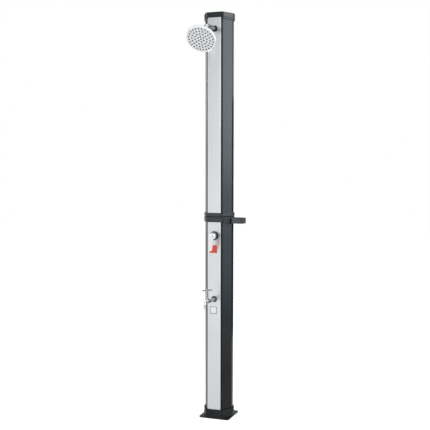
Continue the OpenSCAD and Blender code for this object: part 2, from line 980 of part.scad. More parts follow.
module tap_gasket() {
    color(rubber) front_at(tap_z) tube(small_gasket_r, neck_r + hole_gap, 0, gasket_t);
}

// Local frame of the valve: +Z up, origin on the barrel's axis
module at_valve() {
    front_at(tap_z) translate([0, 0, tap_reach]) upward() children();
}

module spout_path(r, start) {
    front_at(tap_z) rod(r, start, tap_reach + spout_out - spout_bend_r);
    front_at(tap_z) translate([0, 0, tap_reach + spout_out - spout_bend_r]) bend(spout_bend_r, r, 90);
    front_at(tap_z) translate([0, 0, tap_reach + spout_out]) upward()
        rod(r, outlet_h - spout_drop, -spout_bend_r);
}

module tap_body() {
    window_angle = atan2(chamber_high / 2, spout_out / 2);
    color(chrome) difference() {
        union() {
            front_at(tap_z) rod(neck_r, -tap_neck_back, gasket_t);
            front_at(tap_z) hex(tap_hex_r, gasket_t, gasket_t + tap_hex_t);
            front_at(tap_z) rod(tap_r, gasket_t + tap_hex_t, tap_reach);
            at_valve() rod(chamber_r, -chamber_low, chamber_high);
            spout_path(spout_r, tap_reach);
        }
        front_at(tap_z) rod(barrel_bore_r, -tap_neck_back - cut, tap_reach - chamber_bore_r);
        at_valve() rod(seat_port_r, -barrel_bore_r, chamber_floor + cut);
        front_at(tap_z) rod(seat_port_r, tap_reach - chamber_bore_r - cut, tap_reach);
        at_valve() rod(chamber_bore_r, chamber_floor, chamber_high + cut);
        front_at(tap_z) translate([0, chamber_high / 2, tap_reach]) rotate([window_angle, 0, 0])
            rod(seat_port_r, chamber_bore_r / 2, spout_out / 2 / cos(window_angle));
        spout_path(spout_bore_r, tap_reach + spout_out / 2);
        front_at(tap_z) translate([0, 0, tap_reach + spout_out]) upward()
            rod(spout_bore_r, -spout_drop, -spout_bend_r);
    }
}

module tap_locknut() {
    color(brass) front_at(tap_z) difference() {
        hex(wall_nut_r, -inner_wall - wall_nut_h, -inner_wall);
        rod(neck_r + thread_gap, -inner_wall - wall_nut_h - cut, 0);
    }
}

seal_top = chamber_floor + tap_seal_t;
disc_top = seal_top + run_gap + disc_t;
bonnet_top = tap_bar_z - handle_hub_low - bonnet_gap;

module tap_seal() {
    color(rubber) at_valve() tube(chamber_bore_r - thread_gap, seat_port_r, chamber_floor, seal_top);
}

module tap_disc() {
    color(nylon) at_valve() difference() {
        rod(disc_r, seal_top + run_gap, disc_top);
        translate([0, 0, seal_top]) cube([disc_r, disc_r / 2, 2 * disc_t / 2]);
    }
}

module tap_bonnet() {
    color(chrome) at_valve() difference() {
        union() {
            rod(chamber_bore_r - thread_gap, seal_top, chamber_high);
            hex(bonnet_hex_r, chamber_high, chamber_high + bonnet_hex_h);
            rod(bonnet_r, chamber_high + bonnet_hex_h, bonnet_top);
        }
        rod(disc_r + run_gap, seal_top - cut, disc_top + run_gap);
        rod(spindle_r + run_gap, seal_top, bonnet_top + cut);
    }
}

handle_top = tap_bar_z + handle_hub_high;
spindle_top = handle_top - handle_roof;

module tap_spindle() {
    color(brass) at_valve() difference() {
        rod(spindle_r, disc_top, spindle_top);
        rod(tap_screw_r + run_gap, spindle_top - tap_screw_len, spindle_top + cut);
    }
}

module tap_handle() {
    color(chrome) at_valve() difference() {
        union() {
            rod(handle_hub_r, tap_bar_z - handle_hub_low, handle_top);
            translate([0, 0, tap_bar_z]) for (s = [0, 180]) rotate([0, 90, tap_bar_angle + s]) {
                cylinder(r1 = bar_root_r, r2 = bar_tip_r, h = tap_bar_half - bar_tip_r);
                translate([0, 0, tap_bar_half - bar_tip_r]) sphere(bar_tip_r);
            }
        }
        rod(spindle_r + run_gap, tap_bar_z - handle_hub_low - cut, spindle_top);
        rod(tap_screw_r + run_gap, 0, handle_top + cut);
    }
}

module tap_handle_screw() {
    color(steel) at_valve() {
        rod(tap_screw_r, handle_top - tap_screw_len, handle_top);
        rod(tap_screw_head_r, handle_top, handle_top + tap_screw_head_h);
    }
}

module tap_outlet() {
    color(chrome) front_at(tap_z) translate([0, 0, tap_reach + spout_out]) upward()
        tube(outlet_r, spout_bore_r, -spout_drop, outlet_h - spout_drop);
}

module sign_label() {
    color([0.90, 0.91, 0.91]) front_at(sign_z) translate([-label_left, 0, 0]) {
        linear_extrude(label_t) rounded_plate([sign_side, sign_side], label_corner_r);
        translate([0, 0, label_t]) linear_extrude(sign_frame_t) difference() {
            rounded_plate([sign_side, sign_side], label_corner_r);
            rounded_plate([sign_side - 2 * sign_frame, sign_side - 2 * sign_frame], label_corner_r / 2);
        }
    }
}

module hose_inlet() {
    color(brass) rear_at(inlet_z) difference() {
        union() {
            rod(neck_r, -inlet_neck, rear_seal_t);
            hex(inlet_hex_r, rear_seal_t, rear_seal_t + inlet_hex_t);
            rod(inlet_thread_r, rear_seal_t + inlet_hex_t, rear_seal_t + inlet_hex_t + inlet_thread_len);
        }
        rod(inlet_bore_r, -inlet_neck - cut, rear_seal_t + inlet_hex_t + inlet_thread_len + cut);
    }
}

module inlet_seal() {
    color(rubber) rear_at(inlet_z) tube(rear_seal_r, neck_r + hole_gap, 0, rear_seal_t);
}

module check_valve() {
    color(nylon) rear_at(inlet_z) difference() {
        rod(valve_r, -inlet_neck - valve_len, -inlet_neck);
        rod(neck_bore_r, -inlet_neck - valve_len / 3, -inlet_neck + cut);
        translate([0, 0, -inlet_neck - valve_len * 2 / 3])
            cylinder(r1 = neck_bore_r / 2, r2 = neck_bore_r, h = valve_len / 3);
        rod(neck_bore_r / 2, -inlet_neck - valve_len - cut, -inlet_neck - valve_len * 2 / 3);
    }
}

module drain_plug() {
    color(black) rear_at(drain_z) difference() {
        union() {
            rod(neck_r, -drain_neck, rear_seal_t);
            rod(knob_r, rear_seal_t, rear_seal_t + knob_t);
        }
        for (i = [0 : knob_grips - 1]) rotate(i * 360 / knob_grips) translate([knob_r, 0, 0])
            rod(knob_grip_r, rear_seal_t + knob_t / 5, rear_seal_t + knob_t + cut);
    }
}

module drain_seal() {
    color(rubber) rear_at(drain_z) tube(knob_r, neck_r + hole_gap, 0, rear_seal_t);
}

module wall_nuts() {
    color(brass) for (z = [inlet_z, drain_z]) rear_at(z) difference() {
        hex(wall_nut_r, -nut_in - wall_nut_h, -nut_in);
        rod(neck_r + thread_gap, -nut_in - wall_nut_h - cut, 0);
    }
}

valve_end_y = back_r - inlet_neck - valve_len;
cold_top = mixer_z - mixer_boss_h;

module cold_path(r, over) {
    translate([0, valve_end_y + over, inlet_z]) rotate([90, 0, 0]) {
        run = valve_end_y + over - pipe_y - pipe_bend_r;
        rod(r, 0, run);
        translate([0, 0, run]) rotate(180) bend(pipe_bend_r, r, 90);
    }
    translate([0, pipe_y, 0]) rod(r, inlet_z + pipe_bend_r, cold_top + over);
    front_at(tap_z) rod(r, -port_back, -tap_neck_back + over);
}

module cold_pipe() {
    color(nylon) difference() {
        cold_path(pipe_r, 0);
        cold_path(pipe_r - pipe_wall, cut);
        translate([0, valve_end_y / 2, inlet_z]) rod(fill_hole_r, -2 * pipe_r, 0);
    }
}

hot_start_y = mixer_back - panel_front;

module hot_path(r, over) {
    translate([0, hot_start_y - over, mixer_z]) rotate([-90, 0, 0]) {
        run = hot_y - pipe_bend_r - hot_start_y + over;
        rod(r, 0, run);
        translate([0, 0, run]) bend(pipe_bend_r, r, 90);
    }
    translate([0, hot_y, 0]) rod(r, mixer_z + pipe_bend_r, hot_top + over);
}

module hot_pipe() {
    color(nylon) difference() {
        hot_path(pipe_r, 0);
        hot_path(pipe_r - pipe_wall, cut);
    }
}

module mixed_pipe() {
    color(nylon) translate([0, pipe_y, 0])
        tube(pipe_r, pipe_r - pipe_wall, mixer_z + mixer_boss_h, arm_z - arm_boss_h);
}

base_flange();
base_plug();
collar_screws();
lower_tank();
lower_panel();
lower_joint_cap();
joint_nipple();
joint_nuts();
joint_gasket();
upper_joint_cap();
upper_tank();
upper_panel();
top_end_cap();
top_cover();
tray_bracket();
soap_tray();
tray_screws();
arm_gasket();
arm_union();
shower_arm();
arm_washer();
swivel_ball();
ball_seal();
swivel_nut();
head_shell();
head_face();
nozzle_mat();
mixer_gasket();
mixer_body();
mixer_sleeve();
cartridge_seal();
cartridge();
cartridge_cover();
cartridge_turret();
turret_pin();
lever_stem();
mixer_handle();
handle_screw();
handle_plug();
heat_label();
tap_gasket();
tap_body();
tap_locknut();
tap_seal();
tap_disc();
tap_bonnet();
tap_spindle();
tap_handle();
tap_handle_screw();
tap_outlet();
sign_label();
hose_inlet();
inlet_seal();
check_valve();
drain_plug();
drain_seal();
wall_nuts();
cold_pipe();
hot_pipe();
mixed_pipe();
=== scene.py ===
"""Looks of an outdoor shower post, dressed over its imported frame.

Metres, +Z up. The post stands at the origin and its front faces -Y. Places and sizes come from the
frame's nodes and joints where these have them. The post's others are in millimetres, and MM turns them
into metres. A colour of three numbers is a screen colour from 0 to 255.
"""
import json
from math import acos, asin, atan2, copysign, cos, inf, pi, radians, sin, sqrt, tan

import bmesh
import bpy
from mathutils import Matrix, Vector


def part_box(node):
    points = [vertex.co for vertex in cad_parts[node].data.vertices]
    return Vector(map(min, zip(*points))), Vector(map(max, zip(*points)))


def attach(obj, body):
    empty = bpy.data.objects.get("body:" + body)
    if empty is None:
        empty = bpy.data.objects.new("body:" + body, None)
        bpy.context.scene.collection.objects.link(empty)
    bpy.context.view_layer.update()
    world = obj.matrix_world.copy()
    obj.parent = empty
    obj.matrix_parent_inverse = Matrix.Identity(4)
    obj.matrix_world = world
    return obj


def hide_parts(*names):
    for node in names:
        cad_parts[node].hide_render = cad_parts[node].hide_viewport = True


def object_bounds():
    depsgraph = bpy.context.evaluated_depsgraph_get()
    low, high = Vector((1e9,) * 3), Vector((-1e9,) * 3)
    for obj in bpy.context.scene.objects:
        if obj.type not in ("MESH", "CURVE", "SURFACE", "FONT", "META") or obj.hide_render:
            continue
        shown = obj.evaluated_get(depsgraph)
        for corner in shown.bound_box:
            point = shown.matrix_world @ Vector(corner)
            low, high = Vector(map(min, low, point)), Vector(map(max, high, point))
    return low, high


MM = 0.001

# Camera of the photograph: place, heading from +Y towards -X, dip below level, roll and lens
CAMERA_PLACE = Vector((1.5536, -4.1170, 1.3678))
CAMERA_HEADING = radians(20.973)
CAMERA_DIP = radians(3.506)
CAMERA_ROLL = 0.0014
CAMERA_LENS = 68.16

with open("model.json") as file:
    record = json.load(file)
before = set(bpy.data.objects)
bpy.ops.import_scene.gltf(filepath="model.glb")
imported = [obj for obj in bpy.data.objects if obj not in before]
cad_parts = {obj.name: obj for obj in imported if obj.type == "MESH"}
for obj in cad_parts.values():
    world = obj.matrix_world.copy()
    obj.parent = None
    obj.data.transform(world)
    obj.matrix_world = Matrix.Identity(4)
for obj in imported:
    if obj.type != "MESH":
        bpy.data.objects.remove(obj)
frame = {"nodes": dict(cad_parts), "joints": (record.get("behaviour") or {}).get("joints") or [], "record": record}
cad_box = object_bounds()
nodes = frame["nodes"]
joints = {joint["name"]: joint for joint in frame["joints"]}


def low(node):
    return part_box(node)[0]


def high(node):
    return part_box(node)[1]


def middle(node):
    return (low(node) + high(node)) / 2


def span(node):
    """A node's lowest and highest place, in millimetres."""
    return low(node).z / MM, high(node).z / MM


# The tanks' plan, as in the frame
TANK_FRONT = 75
FLAT_W = 78
BACK_R = 77.5
CORNER_R = 8
FLARE_END = radians(8)

# How far the wall and the bands lie from the tanks' outside
TANK_WALL = 3
BAND_GROW = 5.7
INSIDE = 0.2
COLLAR_PUSH = 3

PANEL_FRONT = -low("lower_panel").y
MIXER_Z = middle("mixer_gasket").z
TAP_Z = middle("tap_gasket").z
ARM_Z = middle("arm_gasket").z
TAP_AXIS = Vector(joints["tap_turn"]["pos_m"])
BALL = Vector(joints["head_tilt"]["pos_m"])
HEAD_DIP = asin(-joints["head_swing"]["axis"][1])

TO_FRONT = Matrix.Rotation(pi / 2, 4, "X")
TO_RIGHT = Matrix.Rotation(pi / 2, 4, "Y")


def at(x, y, z):
    return Matrix.Translation((x, y, z))


def front_at(z, x=0, out=0):
    """A fitting's frame on the panel: local +Z points out of it and local +Y points up."""
    return at(x, -PANEL_FRONT - out, z) @ TO_FRONT


def rear_at(z):
    """A fitting's frame on the round back: local +Z points out of it."""
    return at(0, BACK_R * MM, z) @ Matrix.Rotation(-pi / 2, 4, "X")


HEAD = Matrix.Translation(BALL) @ Matrix.Rotation(pi / 2 + HEAD_DIP, 4, "X")
VALVE = at(TAP_AXIS.x, TAP_AXIS.y, TAP_Z)


# Shader helpers

def tone(color):
    """A colour as the linear one that Blender takes: three numbers are a screen colour, four are linear."""
    if len(color) == 4:
        return color
    shares = [value / 255 for value in color]
    return tuple(s / 12.92 if s <= 0.04045 else ((s + 0.055) / 1.055) ** 2.4 for s in shares) + (1,)


def grey(level):
    return (level, level, level, 1)


class Nodes:
    """Short ways to add nodes to a tree."""

    def __init__(self, tree):
        self.tree = tree

    def feed(self, socket, value):
        """Link another node's socket to this one, or set a value on it."""
        if isinstance(value, bpy.types.NodeSocket):
            self.tree.links.new(value, socket)
        else:
            socket.default_value = tone(value) if socket.type == "RGBA" else value

    def add(self, kind, settings=None, **inputs):
        """A new node. An input is named, with _ for a space, or numbered, as in input0."""
        made = self.tree.nodes.new("ShaderNode" + kind)
        for key, value in (settings or {}).items():
            setattr(made, key, value)
        for key, value in inputs.items():
            name = key.replace("_", " ")
            self.feed(made.inputs[int(name[5:]) if name.startswith("input") else name], value)
        return made

    def sum(self, first, second, operation="ADD"):
        return self.add("Math", {"operation": operation}, input0=first, input1=second).outputs[0]

    def by_sight(self, indirect, direct):
        """One shader for the light that it gives, and another for what the camera sees, also in metal."""
        path = self.add("LightPath").outputs
        seen = self.sum(path["Is Camera Ray"], path["Is Glossy Ray"], "MAXIMUM")
        seen = self.sum(seen, path["Is Transmission Ray"], "MAXIMUM")
        made = self.add("MixShader", input0=seen, input1=indirect.outputs[0], input2=direct.outputs[0])
        return made.outputs[0]


class Finish(Nodes):
    """A material round one Principled shader, with short ways to add texture to it."""

    def __init__(self, name, color, **sockets):
        self.material = bpy.data.materials.new(name)
        self.material.use_nodes = True
        super().__init__(self.material.node_tree)
        self.shader = self.tree.nodes["Principled BSDF"]
        self.material.diffuse_color = tone(color)
        self.set("Base Color", color)
        for socket, value in sockets.items():
            self.set(socket.replace("_", " "), value)

    def set(self, socket, value):
        self.feed(self.shader.inputs[socket], value)

    def place(self, stretch=(1, 1, 1)):
        """Object coordinates, stretched: a large number makes fine detail along that axis."""
        coordinates = self.add("TexCoord").outputs["Object"]
        return self.add("Mapping", Vector=coordinates, Scale=stretch).outputs["Vector"]

    def along(self, axis, start, end, to_start=0, to_end=1):
        """Runs from one number to another between two places on an axis."""
        place = self.add("SeparateXYZ", Vector=self.add("TexCoord").outputs["Object"]).outputs[axis]
        return self.remap(place, start, end, to_start, to_end)

    def noise(self, scale, stretch=(1, 1, 1), detail=3, roughness=0.55):
        place = self.place(stretch)
        made = self.add("TexNoise", Vector=place, Scale=scale, Detail=detail, Roughness=roughness)
        return made.outputs["Fac"]

    def remap(self, value, start, end, to_start, to_end):
        made = self.add("MapRange", Value=value, From_Min=start, From_Max=end, To_Min=to_start,
                        To_Max=to_end)
        return made.outputs["Result"]

    def ramp(self, value, *stops):
        made = self.add("ValToRGB", Fac=value)
        elements = made.color_ramp.elements
        for spare in range(len(stops) - len(elements)):
            elements.new(0.5)
        for element, (position, color) in zip(elements, stops):
            element.position = position
            element.color = tone(color)
        return made.outputs["Color"]

    def levels(self, value, *stops):
        return self.ramp(value, *((position, grey(level)) for position, level in stops))

    def blend(self, factor, first, second):
        made = self.add("Mix", {"data_type": "RGBA"}, input0=factor, input6=first, input7=second)
        return made.outputs[2]

    def rough(self, *parts):
        """Roughness: one texture or the sum of two, each given with the ranges to remap it from and to."""
        values = [self.remap(*part) for part in parts]
        self.set("Roughness", self.sum(*values) if len(values) > 1 else values[0])

    def bump(self, height, distance, strength):
        made = self.add("Bump", Height=height, Distance=distance, Strength=strength)
        self.set("Normal", made.outputs["Normal"])

    def edges(self):
        """Near 1 on outward edges and 0 elsewhere."""
        return self.remap(self.add("NewGeometry").outputs["Pointiness"], 0.52, 0.60, 0, 1)


# Materials

def tank_plastic():
    """Extruded plastic, drawn along the post, with painted shade: darker near the ground, a step lighter at the
    middle band, and near black on the flats that face the front beside the panel.
    """
    finish = Finish("tank_plastic", (40, 44, 47), Specular_IOR_Level=0.2)
    height = finish.along("Z", 0, cad_box[1].z)
    # Painted shade by height: the tone darkens towards the ground and steps lighter at the middle band.
    painted_height_shade = finish.ramp(
        height, (0, (14, 17, 20)), (0.12, (17, 20, 23)), (0.22, (29, 33, 36)), (0.48, (30, 34, 37)),
        (0.5, (44, 48, 52)), (0.62, (40, 44, 47)), (1, (39, 43, 46)))
    draw = finish.noise(1, (520, 520, 2.2), detail=4)
    clouds = finish.noise(4, (1, 1, 0.4))
    body = finish.blend(finish.remap(draw, 0.35, 0.65, 0, 0.25), painted_height_shade, (18, 20, 22))
    # Painted shade: faces that look straight to the front, the flats beside the panel, blend to near black and
    # lose most of their specular.
    facing = finish.add("SeparateXYZ", Vector=finish.add("NewGeometry").outputs["Normal"]).outputs["Y"]
    front = finish.remap(facing, -0.94, -0.99, 0, 1)
    finish.set("Base Color", finish.blend(front, body, (8, 8, 9)))
    shine = finish.levels(
        height, (0.04, 0.19), (0.115, 0.16), (0.18, 0.19), (0.22, 0.22), (0.28, 0.23), (0.32, 0.205),
        (0.4, 0.185), (0.48, 0.16), (0.5, 0.235), (0.6, 0.225), (0.68, 0.2))
    finish.set("Specular IOR Level", finish.blend(front, shine, grey(0.05)))
    finish.rough((draw, 0.3, 0.7, 0.16, 0.24), (clouds, 0.3, 0.7, -0.03, 0.03))
    finish.bump(draw, 0.00008, 0.4)
    return finish


def patchy(name, color, pale, clouds, paleness, rough, grain, painted_edge_highlight=False, **sockets):
    """A finish that grows pale in clouds and, where asked, on its edges as a painted highlight, over a fine grain.

    The clouds and the grain each start with a scale and a detail. The grain goes on with a depth and a
    strength. The paleness is where the clouds start and end to be pale, and by how much.
    """
    finish = Finish(name, color, **sockets)
    cloud = finish.noise(clouds[0], detail=clouds[1])
    start, end, most = paleness
    body = finish.blend(finish.remap(cloud, start, end, 0, most), color, pale)
    # Painted highlight: outward edges blend to the pale tone.
    finish.set("Base Color", finish.blend(finish.edges(), body, pale) if painted_edge_highlight else body)
    finish.rough((cloud, 0.3, 0.7, *rough))
    finish.bump(finish.noise(grain[0], detail=grain[1]), *grain[2:])
    return finish


def moulded(name, color, edge, rough=0.28, depth=0.00002, strength=0.3):
    """Black moulded plastic with a fine eroded grain and edges painted pale as a highlight."""
    return patchy(name, color, edge, (14, 4), (0.3, 0.7, 0.2), (rough - 0.06, rough + 0.06),
                  (2600, 2, depth, strength), True, Specular_IOR_Level=0.2)


def shaded_neck(start):
    """The tray's plastic in its lighter painted tone, painted black as shadow in the narrow gap beside its
    bracket.
    """
    finish = moulded("tray_wall_painted_light_and_shadow", (52, 56, 59), (108, 112, 116), 0.4, 0.00004, 0.4)
    # Painted shadow: close to the column the wall goes near black, with little specular.
    painted_neck_shadow = finish.along("X", start + 5 * MM, start + 7 * MM, 1, 0)
    body = finish.shader.inputs["Base Color"].links[0].from_socket
    finish.set("Base Color", finish.blend(painted_neck_shadow, body, (14, 15, 16)))
    finish.set("Specular IOR Level", finish.remap(painted_neck_shadow, 0, 1, 0.2, 0.02))
    return finish


def brushed_aluminium():
    """Anodised sheet, brushed along the post, with soft streaks, a few fine scratches and painted shade that greys
    it near the ground and most near the top.
    """
    finish = Finish("brushed_aluminium", (214, 216, 218), Metallic=1.0)
    brush = finish.noise(1, (1900, 1900, 5), detail=5, roughness=0.7)
    streaks = finish.noise(1, (230, 230, 0.35), detail=3)
    smudge = finish.noise(4, (1, 1, 0.5), detail=5)
    color = finish.ramp(streaks, (0.3, (216, 217, 218)), (0.5, (222, 223, 224)), (0.7, (227, 227, 228)))
    height = finish.along("Z", 0, cad_box[1].z)
    # Painted shade by height: the sheet greys near the ground and near the top, and stays clean in the middle.
    painted_panel_shade = finish.levels(height, (0, 0.5), (0.21, 0.34), (0.31, 0), (0.55, 0.02), (1, 0.78))
    color = finish.blend(painted_panel_shade, color, (168, 171, 174))
    finish.set("Base Color", finish.blend(finish.remap(brush, 0.4, 0.75, 0, 0.10), color, (180, 183, 187)))
    finish.rough((brush, 0.3, 0.7, 0.25, 0.34), (smudge, 0.35, 0.7, -0.02, 0.04))
    finish.bump(brush, 0.00003, 0.5)
    return finish


def chrome(name, painted_reflection_tone, dim, bright, start=0.42, end=0.8):
    """Polished plating, with faint water marks and hairline scratches, and a painted dark reflection where it
    turns away from the view.
    """
    finish = Finish(name, bright, Metallic=1.0)
    marks = finish.noise(120, detail=6)
    scratches = finish.noise(1, (900, 900, 60), detail=2)
    # Painted reflection: where the surface turns away from the view, its colour goes towards a dark tone.
    painted_edge_reflection = finish.add("LayerWeight", Blend=0.5).outputs["Facing"]
    plating = finish.ramp(marks, (0.3, dim), (0.7, bright))
    finish.set("Base Color", finish.blend(finish.remap(painted_edge_reflection, start, end, 0, 1), plating, painted_reflection_tone))
    finish.rough((marks, 0.4, 0.75, 0.05, 0.09), (scratches, 0.55, 0.8, 0, 0.03))
    finish.bump(scratches, 0.000004, 0.3)
    return finish


def satin_face():
    """The head's front plate: satin metal turned in fine rings."""
    finish = Finish("satin_face", (214, 216, 218), Metallic=0.9)
    radius = finish.add("VectorMath", {"operation": "LENGTH"}, input0=finish.place()).outputs["Value"]
    rings = finish.add("TexNoise", {"noise_dimensions": "1D"}, W=radius, Scale=2600, Detail=2).outputs["Fac"]
    haze = finish.noise(30, detail=5)
    finish.set("Base Color", finish.ramp(haze, (0.3, (205, 206, 208)), (0.7, (215, 216, 217))))
    finish.rough((rings, 0.3, 0.7, 0.22, 0.32))
    finish.bump(rings, 0.00003, 0.5)
    return finish


def rubber(name, color, pale):
    """Rubber with a dusty bloom."""
    return patchy(name, color, pale, (60, 5), (0.4, 0.75, 0.5), (0.62, 0.82), (1500, 3, 0.00005, 0.5),
                  Specular_IOR_Level=0.3)


def film(name, color, pale):
    """A plain printed film under a clear coat, sun-bleached in soft patches."""
    return patchy(name, color, pale, (26, 5), (0.35, 0.75, 0.35), (0.34, 0.5), (2400, 2, 0.00002, 0.4),
                  Specular_IOR_Level=0.5, Coat_Weight=0.35, Coat_Roughness=0.12)


def brass():
    finish = Finish("brass", (196, 160, 92), Metallic=1.0)
    turning = finish.noise(1, (30, 30, 2200), detail=2)
    tarnish = finish.noise(70, detail=6)
    finish.set("Base Color", finish.ramp(
        tarnish, (0.3, (150, 116, 62)), (0.55, (196, 160, 92)), (0.8, (214, 182, 118))))
    finish.rough((tarnish, 0.3, 0.7, 0.34, 0.22), (turning, 0.3, 0.7, 0, 0.08))
    finish.bump(turning, 0.00002, 0.5)
    return finish


def nylon():
    finish = Finish("nylon", (222, 220, 208), Specular_IOR_Level=0.45)
    clouds = finish.noise(40, detail=4)
    finish.set("Base Color", finish.ramp(clouds, (0.3, (208, 205, 192)), (0.7, (229, 227, 217))))
    finish.rough((clouds, 0.3, 0.7, 0.36, 0.5))
    finish.bump(finish.noise(1800, detail=2), 0.00003, 0.4)
    return finish


def stainless():
    finish = Finish("stainless", (188, 190, 193), Metallic=1.0)
    turning = finish.noise(1, (40, 40, 3000), detail=2)
    marks = finish.noise(240, detail=4)
    finish.set("Base Color", finish.ramp(marks, (0.3, (164, 167, 171)), (0.7, (200, 202, 205))))
    finish.rough((turning, 0.3, 0.7, 0.24, 0.36))
    finish.bump(turning, 0.00002, 0.4)
    return finish


FINISHES = {
    "tank_black": tank_plastic(),
    "cap_black": moulded("cap_plastic", (24, 28, 31), (84, 89, 93), 0.15),
    "panel_aluminium": brushed_aluminium(),
    "chrome_metal": chrome("chrome", (92, 94, 98), (225, 227, 229), (234, 235, 236)),
    "chrome_plastic": chrome("bright_chrome", (236, 237, 238), (244, 245, 246), (250, 250, 250)),
    "brass": brass(),
    "rubber_black": rubber("black_rubber", (22, 22, 23), (58, 58, 58)),
    "nozzle_rubber": rubber("nozzle_rubber", (44, 46, 50), (62, 64, 68)),
    "nylon_white": nylon(),
    "screw_steel": stainless(),
    "label_red": film("red_film", (212, 60, 50), (222, 96, 86)),
    "label_pale": film("pale_film", (243, 244, 244), (232, 234, 235)),
}
SATIN = satin_face()
# A darker copy of the chrome for some tap and mixer pieces: painted dark reflection, in its tone and at its edges.
PAINTED_DARK_CHROME = chrome("chrome_painted_dark", (48, 50, 54), (182, 184, 187), (196, 198, 201), 0.22, 0.6)
GREY_FRAME = film("grey_film", (46, 50, 54), (62, 66, 70))
BLACKENED = moulded("blackened_steel", (34, 36, 38), (90, 93, 96))
# BAND, RING, BRACKET, TRAY and FOOT are the one black plastic of cap_black in other tones, set part by part for
# how the light falls on each: painted light on the band, ring, bracket and tray, which are lighter, and painted
# shade on the foot, which is darker.
BAND = moulded("band_painted_light", (56, 60, 63), (100, 105, 109), 0.42)
RING = moulded("ring_painted_light", (36, 40, 43), (84, 89, 93), 0.13)
BRACKET = moulded("bracket_painted_light", (31, 34, 37), (66, 71, 75), 0.6)
TRAY = moulded("tray_painted_light", (52, 56, 59), (108, 112, 116), 0.4)
# SHADE: a near-black copy for the strip in the band's groove, painted shadow.
SHADE = moulded("groove_painted_shadow", (14, 15, 16), (22, 23, 24), 0.7)
FOOT = moulded("foot_painted_shade", (13, 15, 17), (58, 62, 65), 0.4)


# Mesh helpers

def spread(start, end, steps):
    """Numbers at even distances, both ends included."""
    return [start + (end - start) * i / steps for i in range(steps + 1)]


def angles(count):
    return [2 * pi * k / count for k in range(count)]


def arc(centre, radius, start, end, steps):
    """Points of an arc in a plane, ends included."""
    return [Vector((centre[0] + radius * cos(a), centre[1] + radius * sin(a)))
            for a in spread(start, end, steps)]


def circle(centre, radius, steps=40):
    return arc(centre, radius, 0, 2 * pi, steps)[:-1]


def rounded_rectangle(width, depth, radius, steps=8):
    points = []
    for x, y, start in ((1, -1, -0.5), (1, 1, 0), (-1, 1, 0.5), (-1, -1, 1)):
        centre = (x * (width / 2 - radius), y * (depth / 2 - radius))
        points += arc(centre, radius, start * pi, (start + 0.5) * pi, steps)
    return points


def rounded(corners, steps=4, closed=True):
    """A profile of corners (u, v) or (u, v, radius), with each that has a radius rounded off."""
    out = []
    count = len(corners)
    nearly_straight = radians(87)
    for i, (u, v, *fillet) in enumerate(corners):
        point = Vector((u, v))
        before = Vector(corners[i - 1][:2]) - point
        after = Vector(corners[(i + 1) % count][:2]) - point
        half = before.angle(after, pi) / 2
        if not any(fillet) or half > nearly_straight or (not closed and i in (0, count - 1)):
            out.append(point)
            continue
        radius = min(fillet[0], 0.49 * tan(half) * min(before.length, after.length))
        before.normalize()
        after.normalize()
        centre = point + (before + after).normalized() * radius / sin(half)
        first = point + before * radius / tan(half) - centre
        last = point + after * radius / tan(half) - centre
        turn = first.angle_signed(last)
        for k in range(steps + 1):
            a = atan2(first.y, first.x) - turn * k / steps
            out.append(centre + Vector((cos(a), sin(a))) * radius)
    return out


def linked(name, data):
    """A new object in the scene."""
    made = bpy.data.objects.new(name, data)
    bpy.context.scene.collection.objects.link(made)
    return made


def settled(made):
    """The mesh of an object with its modifiers worked in."""
    bpy.context.view_layer.update()
    mesh = bpy.data.meshes.new_from_object(made.evaluated_get(bpy.context.evaluated_depsgraph_get()))
    mesh.name = made.name
    return mesh


def shape(name, verts, faces, place=None):
    """A bare object of a closed form, before it is dressed."""
    mesh = bpy.data.meshes.new(name)
    mesh.from_pydata([tuple(v) for v in verts], [], faces)
    work = bmesh.new()
    work.from_mesh(mesh)
    bmesh.ops.remove_doubles(work, verts=work.verts, dist=1e-6)
    bmesh.ops.dissolve_degenerate(work, dist=1e-7, edges=work.edges)
    bmesh.ops.recalc_face_normals(work, faces=work.faces)
    work.to_mesh(mesh)
    work.free()
    made = linked(name, mesh)
    if place is not None:
        made.matrix_world = place
    return made


def dress(made, slot, body, replaces, sharp, finish=None):
    """Shade an object, smooth but for edges past the sharp angle, and let it ride on a body."""
    mesh = made.data
    mesh.polygons.foreach_set("use_smooth", [True] * len(mesh.polygons))
    mesh.set_sharp_from_angle(angle=radians(sharp))
    mesh.materials.clear()
    mesh.materials.append((finish or FINISHES[slot]).material)
    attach(made, body)
    if replaces:
        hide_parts(*replaces)


def piece(name, form, slot, replaces=(), place=None, body="post", sharp=40, finish=None):
    """A mesh piece of a closed form, in one of the record's finishes or in its own."""
    dress(shape(name, *form, place), slot, body, replaces, sharp, finish)


def loft(rings, closed=False):
    """Vertices and faces of a skin through rings of equally many points, capped where it isn't closed."""
    count = len(rings[0])
    verts = [point for ring in rings for point in ring]
    faces = []
    for i in range(len(rings) if closed else len(rings) - 1):
        this, following = i * count, (i + 1) % len(rings) * count
        for k in range(count):
            near = (k + 1) % count
            faces.append((this + k, this + near, following + near, following + k))
    if not closed:
        faces.append(tuple(range(count)))
        faces.append(tuple(range(len(verts) - count, len(verts))))
    return verts, faces


def joined(parts):
    """One form of several."""
    verts, faces = [], []
    for part_verts, part_faces in parts:
        start = len(verts)
        verts += list(part_verts)
        faces += [tuple(start + i for i in face) for face in part_faces]
    return verts, faces


